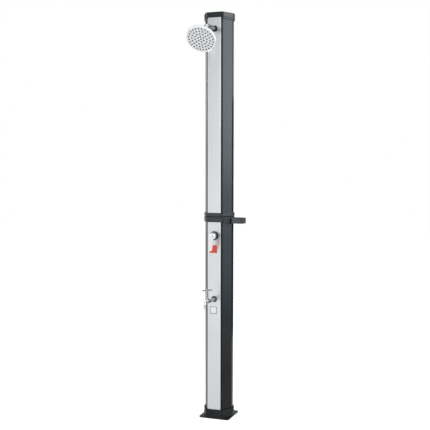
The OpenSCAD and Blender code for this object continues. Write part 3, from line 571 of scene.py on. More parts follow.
def plan(grow, push=0, corner_steps=12, back_steps=48):
    """Points round the column, anticlockwise from its front right corner, in millimetres."""
    radius = CORNER_R + grow
    front = Vector((FLAT_W / 2, -(TANK_FRONT - CORNER_R) - push))
    side = (BACK_R - CORNER_R) * Vector((cos(FLARE_END), -sin(FLARE_END)))
    across = side - front
    turn = atan2(across.y, across.x) - pi / 2
    right = arc(front, radius, -pi / 2, turn, corner_steps)
    right += arc(side, radius, turn, -FLARE_END, 4)
    right += arc((0, 0), BACK_R + grow, -FLARE_END, pi / 2, back_steps)[1:]
    return right + [Vector((-p.x, p.y)) for p in reversed(right[:-1])]


def ring_at(grow, z, push=0, scale=1):
    return [Vector((p.x * scale, p.y * scale, z)) * MM for p in plan(grow, push)]


def column_piece(name, corners, slot, replaces=(), push=0, finish=None):
    """A band, collar or cover round the column, from a closed profile of (grow, z, fillet)."""
    rings = [ring_at(grow, z, push) for grow, z in rounded(corners, 5)]
    piece(name, loft(rings, closed=True), slot, replaces, finish=finish)


def carve(made, cutters):
    """Take closed forms, given in the object's own frame, out of it."""
    tools = [shape("cutter", *form, made.matrix_world.copy()) for form in cutters]
    for tool in tools:
        cut = made.modifiers.new("cut", "BOOLEAN")
        cut.operation = "DIFFERENCE"
        cut.solver = "EXACT"
        cut.object = tool
    mesh = settled(made)
    made.modifiers.clear()
    made.data = mesh
    for tool in tools:
        bpy.data.objects.remove(tool)


def cast(name, parts, replaces, place, voxel, smooth, cutters, body="post"):
    """Chromed forms fused into one casting with soft inner corners, by a voxel remesh and smoothing."""
    made = shape(name, *joined(parts), place)
    remesh = made.modifiers.new("fuse", "REMESH")
    remesh.mode = "VOXEL"
    remesh.voxel_size = voxel * MM
    soften = made.modifiers.new("soften", "SMOOTH")
    soften.factor = 0.5
    soften.iterations = smooth
    carve(made, cutters)
    dress(made, "chrome_metal", body, replaces, 50)


def plate(name, outlines, thickness, edge, slot, replaces, place, body="post", finish=None):
    """A flat plate with rounded edges, from closed outlines: the first outside, the others holes."""
    curve = bpy.data.curves.new(name, "CURVE")
    curve.dimensions = "2D"
    curve.fill_mode = "BOTH"
    curve.extrude = (thickness / 2 - edge) * MM
    curve.bevel_depth = edge * MM
    curve.bevel_resolution = 2
    curve.offset = -edge * MM
    for points in outlines:
        spline = curve.splines.new("POLY")
        spline.points.add(len(points) - 1)
        for target, point in zip(spline.points, points):
            target.co = (*(point * MM), 0, 1)
        spline.use_cyclic_u = True
    source = linked(name + "_curve", curve)
    mesh = settled(source)
    bpy.data.objects.remove(source)
    mesh.name = name
    made = linked(name, mesh)
    made.matrix_world = place
    dress(made, slot, body, replaces, 35, finish)


# Closed forms, from profiles, paths and radii in millimetres

def revolved(corners, turns=64, steps=4, offset=(0, 0, 0), turn=None, shaped=None):
    """A form turned from corners (radius, z, fillet) that end on its axis or return to their start."""
    rings = []
    for r, z in rounded([[number * MM for number in corner] for corner in corners], steps):
        ring = []
        for a in angles(turns):
            scale = shaped(a, r, z) if shaped else 1
            point = Vector((r * scale * cos(a), r * scale * sin(a), z))
            ring.append((turn @ point if turn else point) + Vector(offset) * MM)
        rings.append(ring)
    return loft(rings, closed=True)


def ribs(count, depth, power, over, bottom, top=inf):
    """How a turned piece draws in between its ribs, outside a radius and from one height to another."""
    def scale(a, r, z):
        if r > over * MM and bottom * MM < z < top * MM:
            return 1 - depth * (0.5 + 0.5 * cos(count * a)) ** power
        return 1
    return scale


def turned(name, corners, slot, replaces=(), place=None, body="post", turns=96, steps=4, shaped=None):
    piece(name, revolved(corners, turns, steps, shaped=shaped), slot, replaces, place, body)


def rod(radius, start, end, round_start=0.0, round_end=0.0, turns=48, offset=(0, 0, 0), turn=None):
    return revolved([(0, start), (radius, start, round_start), (radius, end, round_end), (0, end)],
                    turns, 5, offset, turn)


def bow(radius, start, end, steps, centre=0):
    """Corners of a profile along an arc round a point on the axis."""
    return [(max(radius * cos(a), 0), centre + radius * sin(a)) for a in spread(start, end, steps)]


def ball(radius, centre=(0, 0, 0)):
    return revolved(bow(radius, -pi / 2, pi / 2, 48), 96, offset=centre)


def hoop(centre, radius, side, up, sides):
    return [centre + radius * (side * cos(a) + up * sin(a)) for a in angles(sides)]


def heading(points, i):
    return points[min(i + 1, len(points) - 1)] - points[max(i - 1, 0)]


def skin_rings(path, radii, ahead=None, sides=56):
    """Round rings along a path that lies in a plane of constant x, square to it."""
    side = Vector((1, 0, 0))
    points = [p * MM for p in path]
    return [hoop(point, radius * MM, side, (ahead or heading(points, i)).cross(side).normalized(), sides)
            for i, (point, radius) in enumerate(zip(points, radii))]


def bar(path, radii, sides=40):
    """A closed skin along a path, round and square to it."""
    rings = []
    points = [p * MM for p in path]
    side = None
    for i, point in enumerate(points):
        ahead = heading(points, i).normalized()
        if side is None:
            side = ahead.orthogonal().normalized()
        side = (side - ahead * side.dot(ahead)).normalized()
        rings.append(hoop(point, radii[i] * MM, side, ahead.cross(side), sides))
    return loft(rings)


def bent(run, radius, angle, steps=20):
    """Points of a path that runs along +Z and bends towards -Y, and the way it goes on."""
    points = [Vector((0, 0, z)) for z in spread(0, run, 6)[:-1]]
    points += [Vector((0, -radius * (1 - cos(a)), run + radius * sin(a)))
               for a in spread(0, angle, steps)]
    return points, Vector((0, -sin(angle), cos(angle)))


def nut(name, across_corners, bottom, top, bore, slot, place, chamfer=0.8):
    """A hexagonal collar with chamfered corners and a bore."""
    sides = 96
    apothem = across_corners * cos(pi / 6)

    def hexagon(a):
        return apothem / cos((a + pi / 6) % (pi / 3) - pi / 6)

    levels = [(bottom, 0.93), (bottom + chamfer, 1.0), (top - chamfer, 1.0), (top, 0.93)]
    rings = [[Vector((cos(a), sin(a), 0)) * min(hexagon(a), across_corners * limit) * MM
              + Vector((0, 0, z * MM)) for a in angles(sides)] for z, limit in levels]
    rings += [[Vector((bore * cos(a), bore * sin(a), z)) * MM for a in angles(sides)]
              for z in (top, bottom)]
    piece(name, loft(rings, closed=True), slot, (), place, sharp=20)


def screw(name, replaces, places, head_r, head_h, shank_r, length, body="post", finish=None):
    """Pan-head screws with a cross recess, all in one mesh in the record's frame."""
    profile = [(0, -length), (shank_r, -length, 0.3), (shank_r, 0), (head_r, 0, 0.1),
               (head_r, head_h * 0.45, 0.2), (head_r * 0.8, head_h * 0.9, 0.7), (head_r * 0.35, head_h, 0.5),
               (0, head_h)]
    wide, narrow = head_r * 0.55, head_r * 0.14
    cutters = []
    for x, y in ((wide, narrow), (narrow, wide)):
        corners = ((-x, -y), (x, -y), (x, y), (-x, y))
        cutters.append(loft([[Vector((u * taper, v * taper, head_h * depth)) * MM for u, v in corners]
                             for taper, depth in ((0.7, 0.35), (1, 1.3))]))
    parts = []
    for place in places:
        made = shape(name, *revolved(profile, 40), place)
        carve(made, cutters)
        world = made.matrix_world.copy()
        parts.append(([world @ v.co for v in made.data.vertices],
                      [tuple(face.vertices) for face in made.data.polygons]))
        bpy.data.objects.remove(made)
    piece(name, joined(parts), "screw_steel", replaces, body=body, sharp=35, finish=finish)


# Column

def tanks():
    lip = 0.6
    for node in ("lower_tank", "upper_tank"):
        bottom, top = span(node)
        column_piece(node + "_tube", [
            (0, bottom, lip), (0, top, lip), (-TANK_WALL, top, lip), (-TANK_WALL, bottom, lip)],
            "tank_black", [node])


def panels():
    """Sheets with a rolled bead down both sides, drilled for the fittings."""
    bead = 0.45
    bevel = 0.4
    for node, fittings in (("lower_panel", ((MIXER_Z, 16.9), (TAP_Z, 8.8))),
                           ("upper_panel", ((ARM_Z, 8.8),))):
        half, face, back = high(node).x / MM, -low(node).y / MM, -high(node).y / MM
        side = rounded([(half, back), (half, face + bead, 0.6), (half - 2.0, face + bead, 0.5),
                        (half - 2.6, face, 0.4), (0, face)], closed=False)
        section = side + [Vector((-p.x, p.y)) for p in reversed(side[:-1])]
        bottom, top = span(node)
        rings = [[Vector((p.x, -p.y + (inset if p.y > back + 0.7 else 0), z)) * MM for p in section]
                 for z, inset in ((bottom, bevel), (bottom + bevel, 0), (top - bevel, 0), (top, bevel))]
        made = shape(node + "_sheet", *loft(rings))
        holes = []
        for z, radius in fittings:
            verts, faces = rod(radius, -6, 6)
            holes.append(([front_at(z) @ v for v in verts], faces))
        carve(made, holes)
        dress(made, "panel_aluminium", "post", [node], 30)


def base():
    """Plate and collar, with a fillet between them and a rounded top lip."""
    size = (high("base_flange") - low("base_flange")) / MM
    pattern = next(m["dims"] for m in frame["record"]["mounts"] if m["name"] == "anchor_holes")
    half_x = pattern["spacing_x_mm"] / 2
    half_y = pattern["spacing_y_mm"] / 2
    thick = 7
    outlines = [rounded_rectangle(size.x, size.y, 14, 10)]
    outlines += [circle((x * half_x, y * half_y), pattern["hole_r_mm"])
                 for x in (-1, 1) for y in (-1, 1)]
    plate("base_plate", outlines, thick, 1.2, "cap_black", ["base_flange"], at(0, 0, thick / 2 * MM),
          finish=FOOT)
    column_piece("base_collar", [
        (BAND_GROW + 2.2, 0.5 * thick), (BAND_GROW + 2.2, thick + 1, 1.5), (BAND_GROW + 1.2, thick + 8, 6),
        (BAND_GROW, thick + 20, 6), (BAND_GROW, size.z, 1.8), (INSIDE, size.z, 0.6), (INSIDE, 0.5 * thick)],
        "cap_black", push=COLLAR_PUSH, finish=FOOT)


def bands():
    """The two halves of the middle band, with the groove between them and a near-black strip in it that is painted
    shadow.
    """
    groove = 0.6
    bottom, top = span("lower_joint_cap")
    column_piece("band_lower", [(BAND_GROW, bottom, 1.2), (BAND_GROW, top, 1.0), (INSIDE, top),
                                (INSIDE, bottom, 0.4)], "cap_black", ["lower_joint_cap"], finish=BAND)
    bottom, top = span("upper_joint_cap")
    column_piece("band_upper", [
        (groove, bottom, 0.2), (groove, bottom + 3.6, 0.3), (BAND_GROW, bottom + 3.6, 0.7),
        (BAND_GROW, top - 3, 0.5), (BAND_GROW - 0.8, top - 2.4, 0.3), (BAND_GROW - 0.8, top, 0.8),
        (INSIDE, top, 0.4), (INSIDE, bottom)], "cap_black", ["upper_joint_cap"], finish=BAND)
    # A near-black strip in the groove that stands for its shadow: painted shadow.
    column_piece("band_groove_shadow", [
        (groove + 0.5, bottom), (groove + 0.5, bottom + 3.5), (groove - 0.3, bottom + 3.5),
        (groove - 0.3, bottom)], "rubber_black", finish=SHADE)


def cover():
    """The ring under the cover, open in front for the panel, and the cover."""
    top = span("top_end_cap")[1]
    bottom = top - 7
    profile = rounded([(BAND_GROW, bottom, 0.9), (BAND_GROW, top, 0.8), (INSIDE, top),
                       (INSIDE, bottom, 0.4)], 5)
    end = (FLAT_W / 2 - 1.1) * MM
    rings = []
    for grow, z in profile:
        ring = ring_at(grow, z)
        rings.append([Vector((end, ring[0].y, ring[0].z))] + ring + [Vector((-end, ring[0].y, ring[0].z))])
    piece("cap_ring", loft(list(zip(*rings))), "cap_black", ["top_end_cap"], finish=RING)
    bottom, top = span("top_cover")
    edge = bottom + 1.6
    brim = rounded([(0, edge), (BAND_GROW, edge, 0.8), (BAND_GROW, top, 1.4), (-6, top)], 6, closed=False)
    rings = [ring_at(0, bottom), ring_at(0, edge)] + [ring_at(grow, z) for grow, z in brim[1:]]
    rings += [ring_at(-6, top, 0, scale) for scale in (0.85, 0.6, 0.3)]
    piece("cover_shell", loft(rings), "cap_black", ["top_cover"])


# Shower arm and head

ARM_R = 11
ARM_RUN = 97
ARM_BEND_R = 35
ARM_DIP = radians(50)
ARM_TAIL = 20
BALL_R = 11
BALL_STEM_R = 4.5


def rosette(name, node, z, outside, inside, thickness=3.0):
    turned(name, [
        (inside, 0), (outside, 0), (outside, thickness * 0.45, 0.5), (outside - 1.6, thickness, 1.4),
        (inside, thickness, 0.4)], "rubber_black", [node], front_at(z))


def arm():
    rosette("arm_rosette", "arm_gasket", ARM_Z, 16.5, 11.1)
    path, ahead = bent(ARM_RUN, ARM_BEND_R, ARM_DIP)
    end = path[-1]
    outer = path + [end + ahead * d for d in (0.2, 15, ARM_TAIL - 0.5, ARM_TAIL)]
    inner = [end + ahead * d for d in (ARM_TAIL, ARM_TAIL - 0.6, 4)]
    rings = skin_rings(outer, [ARM_R] * len(path) + [ARM_R + 0.4] * 3 + [ARM_R])
    rings += skin_rings(inner, [8.5, 8.1, 8.1], ahead)
    piece("arm_pipe", loft(rings), "chrome_metal", ["shower_arm"], front_at(ARM_Z), sharp=50)


def swivel():
    """The ball with its hexagonal collar, the nut that holds it, and the seal between."""
    axis = Matrix.Translation(BALL) @ Matrix.Rotation(pi / 2 + ARM_DIP, 4, "X")
    nut("ball_collar", 10, -26, -20, 4, "chrome_metal", axis, 0.6)
    turned("swivel_ball_stem", [
        (0, -34), (8, -34, 0.5), (8, -25.5), (BALL_STEM_R, -25.5), (BALL_STEM_R, -18, 1)]
        + bow(BALL_R, -acos(BALL_STEM_R / BALL_R), pi / 2, 24),
        "chrome_metal", ["swivel_ball"], axis)
    turned("swivel_collar", [
        (13.8, -8, 0.6), (17.5, -4, 0.8), (17.5, -2.2, 0.2), (17.5, -1.6, 0.2), (17.5, 6.2, 0.2),
        (17.5, 6.8, 0.2), (17.5, 9, 0.7), (15.7, 9, 0.2), (15.7, 1), (12.5, 1), (12.3, -3),
        (11.3, -5.2, 0.3)], "chrome_metal", ["swivel_nut"], HEAD, "head", 160,
        shaped=ribs(20, 0.022, 3, 17, -3, 7.5))
    turned("seal_ring", [(10.75, -3.0), (11.6, -3.3, 0.2), (11.0, -5.0, 0.2), (10.0, -5.2)],
           "nylon_white", ["ball_seal"], HEAD, "swivel_ring")


HEAD_R = 78
HEAD_REACH = 50
RIM_BACK = 41
RIM_W = 2.5
FACE_BACK = HEAD_REACH - 4
NECK_R = 15.5
NECK_END = 18
NOZZLE_R = 3
NOZZLE_RINGS = 4
NOZZLE_PITCH = 15.9
NOZZLE_TURN = radians(26)


def nozzle_places():
    places = [(0.0, 0.0)]
    for ring in range(1, NOZZLE_RINGS + 1):
        out = NOZZLE_PITCH * ring
        for a in angles(6 * ring):
            places.append((out * cos(NOZZLE_TURN + a), out * sin(NOZZLE_TURN + a)))
    return places


def head():
    """A domed shell with a rounded rim, its recessed face and the soft nozzles."""
    dome = [(NECK_R + (HEAD_R - NECK_R) * sin(a), RIM_BACK - (RIM_BACK - NECK_END) * cos(a))
            for a in spread(0, pi / 2, 28)[:-1]]
    turned("head_dome", [(0, 1), (NECK_R, 1, 0.4)] + dome + [
        (HEAD_R, RIM_BACK), (HEAD_R, HEAD_REACH, 1.1), (HEAD_R - RIM_W, HEAD_REACH, 0.9),
        (HEAD_R - RIM_W, FACE_BACK, 0.2), (HEAD_R - 5, FACE_BACK), (0, HEAD_REACH - 8)],
        "chrome_plastic", ["head_shell"], HEAD, "head", 192)
    holes = [circle(place, NOZZLE_R + 0.1, 24) for place in nozzle_places()]
    plate("spray_face", [circle((0, 0), HEAD_R - RIM_W - 0.2, 160)] + holes, 3, 0.25,
          "panel_aluminium", ["head_face"], HEAD @ at(0, 0, (HEAD_REACH - 2.5) * MM), "head", SATIN)
    parts = [rod(HEAD_R - 5.5, FACE_BACK - 2, FACE_BACK - 0.02, 0.3, 0.3, 96)]
    tip = [(r, FACE_BACK + z, *fillet) for r, z, *fillet in (
        (0, -1), (NOZZLE_R - 0.05, -1), (NOZZLE_R - 0.05, 3.1), (NOZZLE_R + 1.1, 3.1),
        (NOZZLE_R + 1.1, 3.5, 0.2), (NOZZLE_R - 0.2, 3.7, 0.2), (NOZZLE_R - 0.6, 4.8, 0.6), (0.9, 4.8, 0.2),
        (0.7, 3.6), (0, 3.6))]
    parts += [revolved(tip, 20, 2, (x, y, 0)) for x, y in nozzle_places()]
    piece("nozzle_mat_tips", joined(parts), "nozzle_rubber", ["nozzle_mat"], HEAD, "head", 50)


# Mixer

PIVOT_OUT = 30
HUB_R = 20.5
DOME_R = 17
LEVER_DROP = 66
LEVER_TOP = 6
ROOT_W = 15.2
TIP_R = 11
TIP_POWER = 2.6


def mixer():
    place = front_at(MIXER_Z)
    rosette("mixer_rosette", "mixer_gasket", MIXER_Z, 24, 16.6)
    turned("mixer_barrel", [
        (16.6, 3), (20, 3, 0.3), (20, 7, 0.2), (19.6, 7.4, 0.1), (20, 7.8, 0.2), (20, 24, 1.2),
        (16.1, 24, 0.3), (16.1, 22.2), (16.6, 22.2)], "chrome_metal", ["mixer_sleeve"], place)
    dome = bow(DOME_R, asin(-8 / DOME_R), asin(11 / DOME_R), 20, PIVOT_OUT)
    turned("cartridge_dome", [(16.3, 20.2, 0.2), (16.3, 22, 0.3)] + dome + [
        (10, 41, 0.3), (10, 36), (8.1, 36), (8.1, 20.2)], "chrome_metal", ["cartridge_cover"], place)


def blade_rings():
    """The lever's blade from inside the hub down to its round tip, wide and softly squared."""
    rings = []
    for y in spread(LEVER_TOP, -(LEVER_DROP + TIP_R - 0.1), 32):
        drop = max(0.0, -y) / LEVER_DROP
        if y > -LEVER_DROP:
            wide = ROOT_W + (TIP_R - ROOT_W) * drop
        else:
            wide = TIP_R * max(1 - (-(y + LEVER_DROP) / TIP_R) ** TIP_POWER, 0.002) ** (1 / TIP_POWER)
        back = PIVOT_OUT + 13 + 10 * drop
        front = PIVOT_OUT + 23 + 5 * min(drop, 1.15) + 0.3 * sin(pi * min(drop, 1.0))
        thick = (front - back) / 2 * (min(1.0, wide / 5.0) ** 0.5)
        ring = []
        for a in angles(56):
            c, d = cos(a), sin(a)
            x = wide * copysign(abs(c) ** 0.62, c)
            z = (front + back) / 2 + thick * copysign(abs(d) ** 0.62, d)
            ring.append(Vector((x, y, z)) * MM)
        rings.append(ring)
    return loft(rings)


def handle():
    """Hub and lever in one casting, hollow under the hub."""
    centre = (0, 0, PIVOT_OUT)
    below = rod(60, -60, 0.2, offset=centre, turn=Matrix.Rotation(radians(12.5), 3, "X"))
    place = front_at(MIXER_Z)
    cast("lever_casting", [ball(HUB_R, centre), blade_rings()], ["mixer_handle"], place, 0.55, 6,
         [below, ball(HUB_R - 2.95, centre), rod(4.55, 53, 60), rod(3.3, 50, 60)], "lever")
    turned("lever_plug", [
        (0, 50.9), (3.2, 50.9), (3.2, 53), (4.5, 53, 0.1), (4.5, 53.7, 0.3), (2.5, 54, 0.8),
        (0, 54)], "chrome_plastic", ["handle_plug"], place, "lever")


# Foot tap

TAP_REACH = 106
SPOUT_OUT = 34
SPOUT_BEND_R = 12
TEE_HALF = 32
TEE_TIP_R = 3.4
TEE_ROOT_R = 4.6
TEE_Z = 62
TEE_TOP = 69
UPWARD = Matrix.Rotation(-pi / 2, 3, "X")


def tap():
    rosette("tap_rosette", "tap_gasket", TAP_Z, 16.5, 8.6)
    place = front_at(TAP_Z)
    nut("tap_wall_nut", 12, 3, 8, 8.4, "chrome_metal", place, 0.9)
    bend, ahead = bent(TAP_REACH + SPOUT_OUT - SPOUT_BEND_R, SPOUT_BEND_R, pi / 2)
    root = TAP_REACH - 4
    path = [Vector((0, 0, root))] + [p for p in bend if p.z > root]
    path += [bend[-1] + ahead * d for d in (5, 11.5)]
    valve = (0, 0, TAP_REACH)
    barrel = revolved([
        (0, -18), (8.4, -18), (8.4, 9), (9.4, 9, 0.2), (9.4, 13, 0.8), (10, 14, 0.5),
        (10, TAP_REACH, 2), (0, TAP_REACH)], 48)
    chamber = rod(10.5, -10, 13, 1.6, 0.6, 64, valve, UPWARD)
    collar = revolved([(0, 8.5), (11, 8.5, 1), (11, 13, 0.4), (0, 13)], 64, 4, valve, UPWARD)
    bore = rod(4.5, -34, -20, offset=(0, 0, TAP_REACH + SPOUT_OUT), turn=UPWARD)
    cast("tap_casting", [barrel, chamber, collar, bar(path, [7.5] * len(path))], ["tap_body"], place,
         0.5, 5, [bore, rod(7.05, 2, 14, offset=valve, turn=UPWARD)])
    turned("spout_ring", [
        (4.5, -33, 0.3), (7.8, -33, 0.8), (8.3, -31.6, 0.2), (8.3, -31.2, 0.1), (8.3, -25.4, 0.1),
        (8.3, -24.6, 0.3), (7.9, -23, 0.5), (4.5, -23)], "chrome_metal", ["tap_outlet"],
        VALVE @ at(0, -SPOUT_OUT * MM, 0), turns=180, shaped=ribs(30, 0.03, 1, 8, -31.5, -25))
    nut("bonnet_hex", 11, 13, 19, 3.6, "chrome_metal", VALVE, 0.7)
    turned("bonnet_stem", [
        (3.6, 5), (6.9, 5), (6.9, 13), (5, 13), (5, 18.6), (8.8, 18.6), (8.8, 21.5, 0.5),
        (8.2, 22.5, 0.5), (8.2, 44, 0.5), (8.8, 45, 0.5), (8.8, 49.5), (8.8, 50.5, 0.7), (3.6, 50.5, 0.2)],
        "chrome_metal", ["tap_bonnet"], VALVE)


def tap_handle():
    """T-handle: a hub and a tapered bar with round ends, half open at rest."""
    angle = radians(48)
    ahead = Vector((cos(angle), sin(angle), 0))
    straight = TEE_HALF - TEE_TIP_R
    path, radii = [], []
    for along in spread(-TEE_HALF, TEE_HALF, 40):
        over = abs(along) - straight
        path.append(ahead * along + Vector((0, 0, TEE_Z)))
        if over > 0:
            radii.append(sqrt(max(TEE_TIP_R ** 2 - over ** 2, 0.3)))
        else:
            radii.append(TEE_ROOT_R + (TEE_TIP_R - TEE_ROOT_R) * abs(along) / straight)
    hub = revolved([
        (0, 52), (6.6, 52, 0.5), (7.5, 54, 0.8), (7.5, 66.5), (7.5, TEE_TOP, 1.8), (0, TEE_TOP)])
    cast("tee_casting", [hub, bar(path, radii)], ["tap_handle"], VALVE, 0.4, 5, [rod(3.6, 50, 66)],
         "tap_valve")
    screw("tee_screw", ["tap_handle_screw"], [VALVE @ at(0, 0, TEE_TOP * MM)], 3.2, 2.0, 1.5, 6, "tap_valve")


def paint_dark_reflections():
    """The chromed pieces that get the darker copy of the chrome, a painted dark reflection."""
    for name in ("bonnet_hex", "bonnet_stem", "tee_casting", "tap_wall_nut", "mixer_barrel"):
        bpy.data.objects[name].material_slots[0].material = PAINTED_DARK_CHROME.material


def collar_screws():
    height = 34 * MM
    places = [at(16 * MM, -(TANK_FRONT + BAND_GROW + COLLAR_PUSH) * MM, height) @ TO_FRONT]
    for turn in (0, pi / 2, pi):
        places.append(Matrix.Rotation(turn, 4, "Z") @ at((BACK_R + BAND_GROW) * MM, 0, height) @ TO_RIGHT)
    screw("foot_screws", ["collar_screws"], places, 4.5, 2.6, 2, 15, finish=BLACKENED)


def labels():
    for node, slot in (("heat_label", "label_red"), ("sign_label", "label_pale")):
        centre, side = middle(node), (high(node) - low(node)).x / MM
        plate(node + "_plate", [rounded_rectangle(side, side, 3)], 0.5, 0.15, slot, [node],
              front_at(centre.z, centre.x, 0.25 * MM))
    lines = [rounded_rectangle(side, side, corner) for side, corner in ((38, 2.4), (33, 1))]
    plate("sign_frame", lines, 0.24, 0.05, "label_pale", (),
          front_at(centre.z, centre.x, 0.6 * MM), finish=GREY_FRAME)


# Tray

def side_x(y, grow):
    """Where the column's grown side lies at a depth, on its flared part."""
    points = [p for p in plan(grow) if p.x > 0]
    for first, last in zip(points, points[1:]):
        if first.y <= y <= last.y and last.y > first.y:
            return first.x + (last.x - first.x) * (y - first.y) / (last.y - first.y)
    return BACK_R + grow


def tray_outline(inset, grow):
    """Plan of the tray: rounded at its outer end, and following the column on its inner side."""
    half = 30 - inset
    end = 146 - inset
    corner = 15 - inset
    radius = BACK_R + grow + inset
    points = arc((end - corner, -half + corner), corner, -pi / 2, 0, 8)
    points += arc((end - corner, half - corner), corner, 0, pi / 2, 8)
    for y in spread(half, -half, 16):
        flared = y < -sin(FLARE_END) * BACK_R
        points.append(Vector((side_x(y, grow + inset) if flared else sqrt(radius ** 2 - y ** 2), y)))
    return points


def tray():
    bottom, top = span("soap_tray")
    grow = 7.7
    wall = 2.5
    thick = 3
    profile = rounded([(2.5, bottom), (0, bottom, 2.2), (0, top, 1.1), (wall, top, 1.1),
                       (wall, bottom + thick, 2.5), (wall + 4, bottom + thick), (wall + 4, bottom)])
    rings = [[Vector((p.x, p.y, z)) * MM for p in tray_outline(inset, grow)] for inset, z in profile]
    piece("tray_walls", loft(rings, closed=True), "cap_black", ["soap_tray"],
          finish=shaded_neck(low("soap_tray").x))
    slots = [[Vector((x, y)) + p for p in rounded_rectangle(24, 4, 1.9, 6)]
             for y in (-11, 0, 11) for x in (102, 131)]
    plate("tray_floor", [tray_outline(wall + 3.5, grow)] + slots, thick, 0.5, "cap_black", (),
          at(0, 0, (bottom + thick / 2) * MM), finish=TRAY)
    places = [at((BACK_R + 10.2) * MM, y * MM, (bottom + 16) * MM) @ TO_RIGHT for y in (-12, 12)]
    screw("tray_fixings", ["tray_screws"], places, 3.5, 2, 1.6, 4)


# Rear fittings

def rear():
    inlet = middle("hose_inlet").z
    drain = middle("drain_plug").z
    nut("inlet_hex", 16, 2, 7, 8, "brass", rear_at(inlet))
    thread = [(6, -16), (8.4, -16, 0.4), (8.4, 6.8), (12.2, 6.8)]
    for i in range(7):
        z = 8.2 + 1.8 * i
        thread += [(11.9, z - 0.45, 0.15), (13.2, z + 0.3, 0.15), (13.2, z + 0.6, 0.15)]
    thread += [(12.0, 20.4, 0.2), (11.6, 21, 0.2), (6.6, 21, 0.2), (6, 20.3, 0.2)]
    turned("inlet_thread", thread, "brass", ["hose_inlet"], rear_at(inlet), steps=2)
    for kind, z, outside in (("inlet", inlet, 13), ("drain", drain, 12)):
        turned(kind + "_ring", [(8.6, 0), (outside, 0, 0.6), (outside, 2, 0.6), (8.6, 2, 0.2)],
               "rubber_black", [kind + "_seal"], rear_at(z))
    turned("drain_knob", [
        (0, -12), (8.4, -12, 0.5), (8.4, 2), (12, 2, 0.3), (12, 4.2, 0.2), (12, 5, 0.2), (12, 10.8),
        (12, 12, 1.2), (8, 12, 0.6), (7.2, 11, 0.6), (0, 11)], "cap_black", ["drain_plug"], rear_at(drain),
        turns=192, shaped=ribs(12, 0.075, 4, 11, 4))


# Nodes that keep their own meshes

def bracket():
    """Round the bracket's sharp edges."""
    made = nodes["tray_bracket"]
    weld = made.modifiers.new("weld", "WELD")
    weld.merge_threshold = 1e-5
    bevel = made.modifiers.new("round", "BEVEL")
    bevel.width = 0.5 * MM
    bevel.segments = 2
    bevel.limit_method = "ANGLE"
    bevel.angle_limit = radians(40)


def carried():
    """Give the nodes that show their own meshes a finish."""
    for entry in frame["record"]["subparts"]:
        node = nodes[entry["node"]]
        if node.hide_render:
            continue
        finish = BRACKET if entry["node"] == "tray_bracket" else FINISHES[entry["material_slot"]]
        for material_slot in node.material_slots:
            material_slot.material = finish.material


# Camera, floor and light

def camera():
    data = bpy.data.cameras.new("camera")
    data.lens = CAMERA_LENS
    data.clip_start = 0.1
    made = linked("camera", data)
    made.location = CAMERA_PLACE
    made.rotation_euler = (pi / 2 - CAMERA_DIP, 0, CAMERA_HEADING)
    made.rotation_euler.rotate_axis("Z", CAMERA_ROLL)
    bpy.context.scene.camera = made


def sky():
    world = bpy.data.worlds.new("studio")
    bpy.context.scene.world = world
    world.use_nodes = True
    world.node_tree.nodes.clear()
    made = Nodes(world.node_tree)
    soft = made.add("Background", Color=(0.97, 0.985, 1.0, 1), Strength=0.55)
    white = made.add("Background", Color=(1, 1, 1, 1), Strength=1.0)
    made.add("OutputWorld", Surface=made.by_sight(soft, white))


def sheet(name, width, height, finish):
    """A flat rectangle of the set, which isn't part of the post."""
    x, y = width / 2, height / 2
    mesh = bpy.data.meshes.new(name)
    mesh.from_pydata([(-x, -y, 0), (x, -y, 0), (x, y, 0), (-x, y, 0)], [], [(0, 1, 2, 3)])
    mesh.materials.append(finish.material)
    made = linked(name, mesh)
    return made


def floor():
    """A pale floor that stays white round the post and keeps its shadow."""
    finish = Finish("floor", grey(0.82), Roughness=0.9, Specular_IOR_Level=0.1)
    strength = finish.remap(finish.add("LightPath").outputs["Is Camera Ray"], 0, 1, 0.3, 0.65)
    glow = finish.add("Emission", Strength=strength)
    both = finish.add("AddShader", input0=finish.shader.outputs[0], input1=glow.outputs[0])
    finish.feed(finish.tree.nodes["Material Output"].inputs["Surface"], finish.by_sight(finish.shader, both))
    sheet("floor", 24, 24, finish)


def aim(made, place, target, axis):
    """Put an object in its place, with one of its axes towards a target."""
    made.location = place
    made.rotation_euler = (Vector(target) - Vector(place)).to_track_quat(axis, "Y").to_euler()


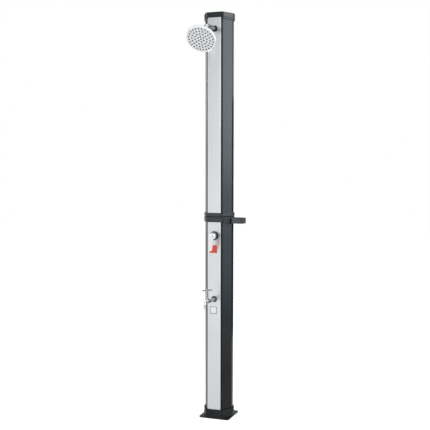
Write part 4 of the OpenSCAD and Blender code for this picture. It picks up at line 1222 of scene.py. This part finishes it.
def lamp(name, place, target, width, height, power, color=(1, 1, 1)):
    data = bpy.data.lights.new(name, "AREA")
    data.shape = "RECTANGLE"
    data.size = width
    data.size_y = height
    data.energy = power
    data.color = color
    aim(linked(name, data), place, target, "-Z")


def flags():
    """Black cards beside the set, which only polished surfaces mirror."""
    card = Finish("card", (24, 24, 26), Roughness=1)
    for name, place, width, height, facing in (
            ("right_card", (0.85, 1.75, 0.96), 2.4, 1.9, 0.96),
            ("front_card", (2.02, -0.95, 0.96), 1.35, 1.9, 0.96),
            ("upper_card", (-1.30, 1.85, 3.30), 1.7, 1.8, 2.0)):
        made = sheet(name, width, height, card)
        aim(made, place, (0, 0, facing), "Z")
        made.visible_camera = False
        made.visible_diffuse = False
        made.visible_shadow = False


# The side light: a column of strips from the ground up
SIDE_X = 2.15
SIDE_Y = 0.50
SIDE_WIDTH = 0.9
SIDE_START = 0.25
SIDE_SPAN = 2.8
SIDE_STRIPS = 14
SIDE_TINT = (0.90, 0.97, 1.0)


def side_glow(height):
    """Watts per square metre of the side light, which fades towards the ground."""
    stops = ((SIDE_START, 1.4), (0.7, 6.0), (1.0, 6.6), (1.3, 15.0), (1.5, 19.0), (1.9, 21.8))
    for (start, dim), (end, bright) in zip(stops, stops[1:]):
        if height <= end:
            return dim + (bright - dim) * (height - start) / (end - start)
    return bright


def lights():
    lamp("key", (-3.4, -2.2, 3.0), (0, 0, 1.1), 2.0, 2.0, 120)
    step = SIDE_SPAN / SIDE_STRIPS
    for i in range(SIDE_STRIPS):
        height = SIDE_START + step * (i + 0.5)
        lamp("side_%d" % i, (SIDE_X, SIDE_Y, height), (0.06, 0, height - 0.15), SIDE_WIDTH, step,
             side_glow(height) * SIDE_WIDTH * step, SIDE_TINT)


bpy.context.scene.view_settings.view_transform = "Standard"
camera()
sky()
floor()
lights()
flags()
tanks()
panels()
base()
bands()
cover()
arm()
swivel()
head()
mixer()
handle()
tap()
tap_handle()
paint_dark_reflections()
collar_screws()
labels()
tray()
bracket()
rear()
carried()
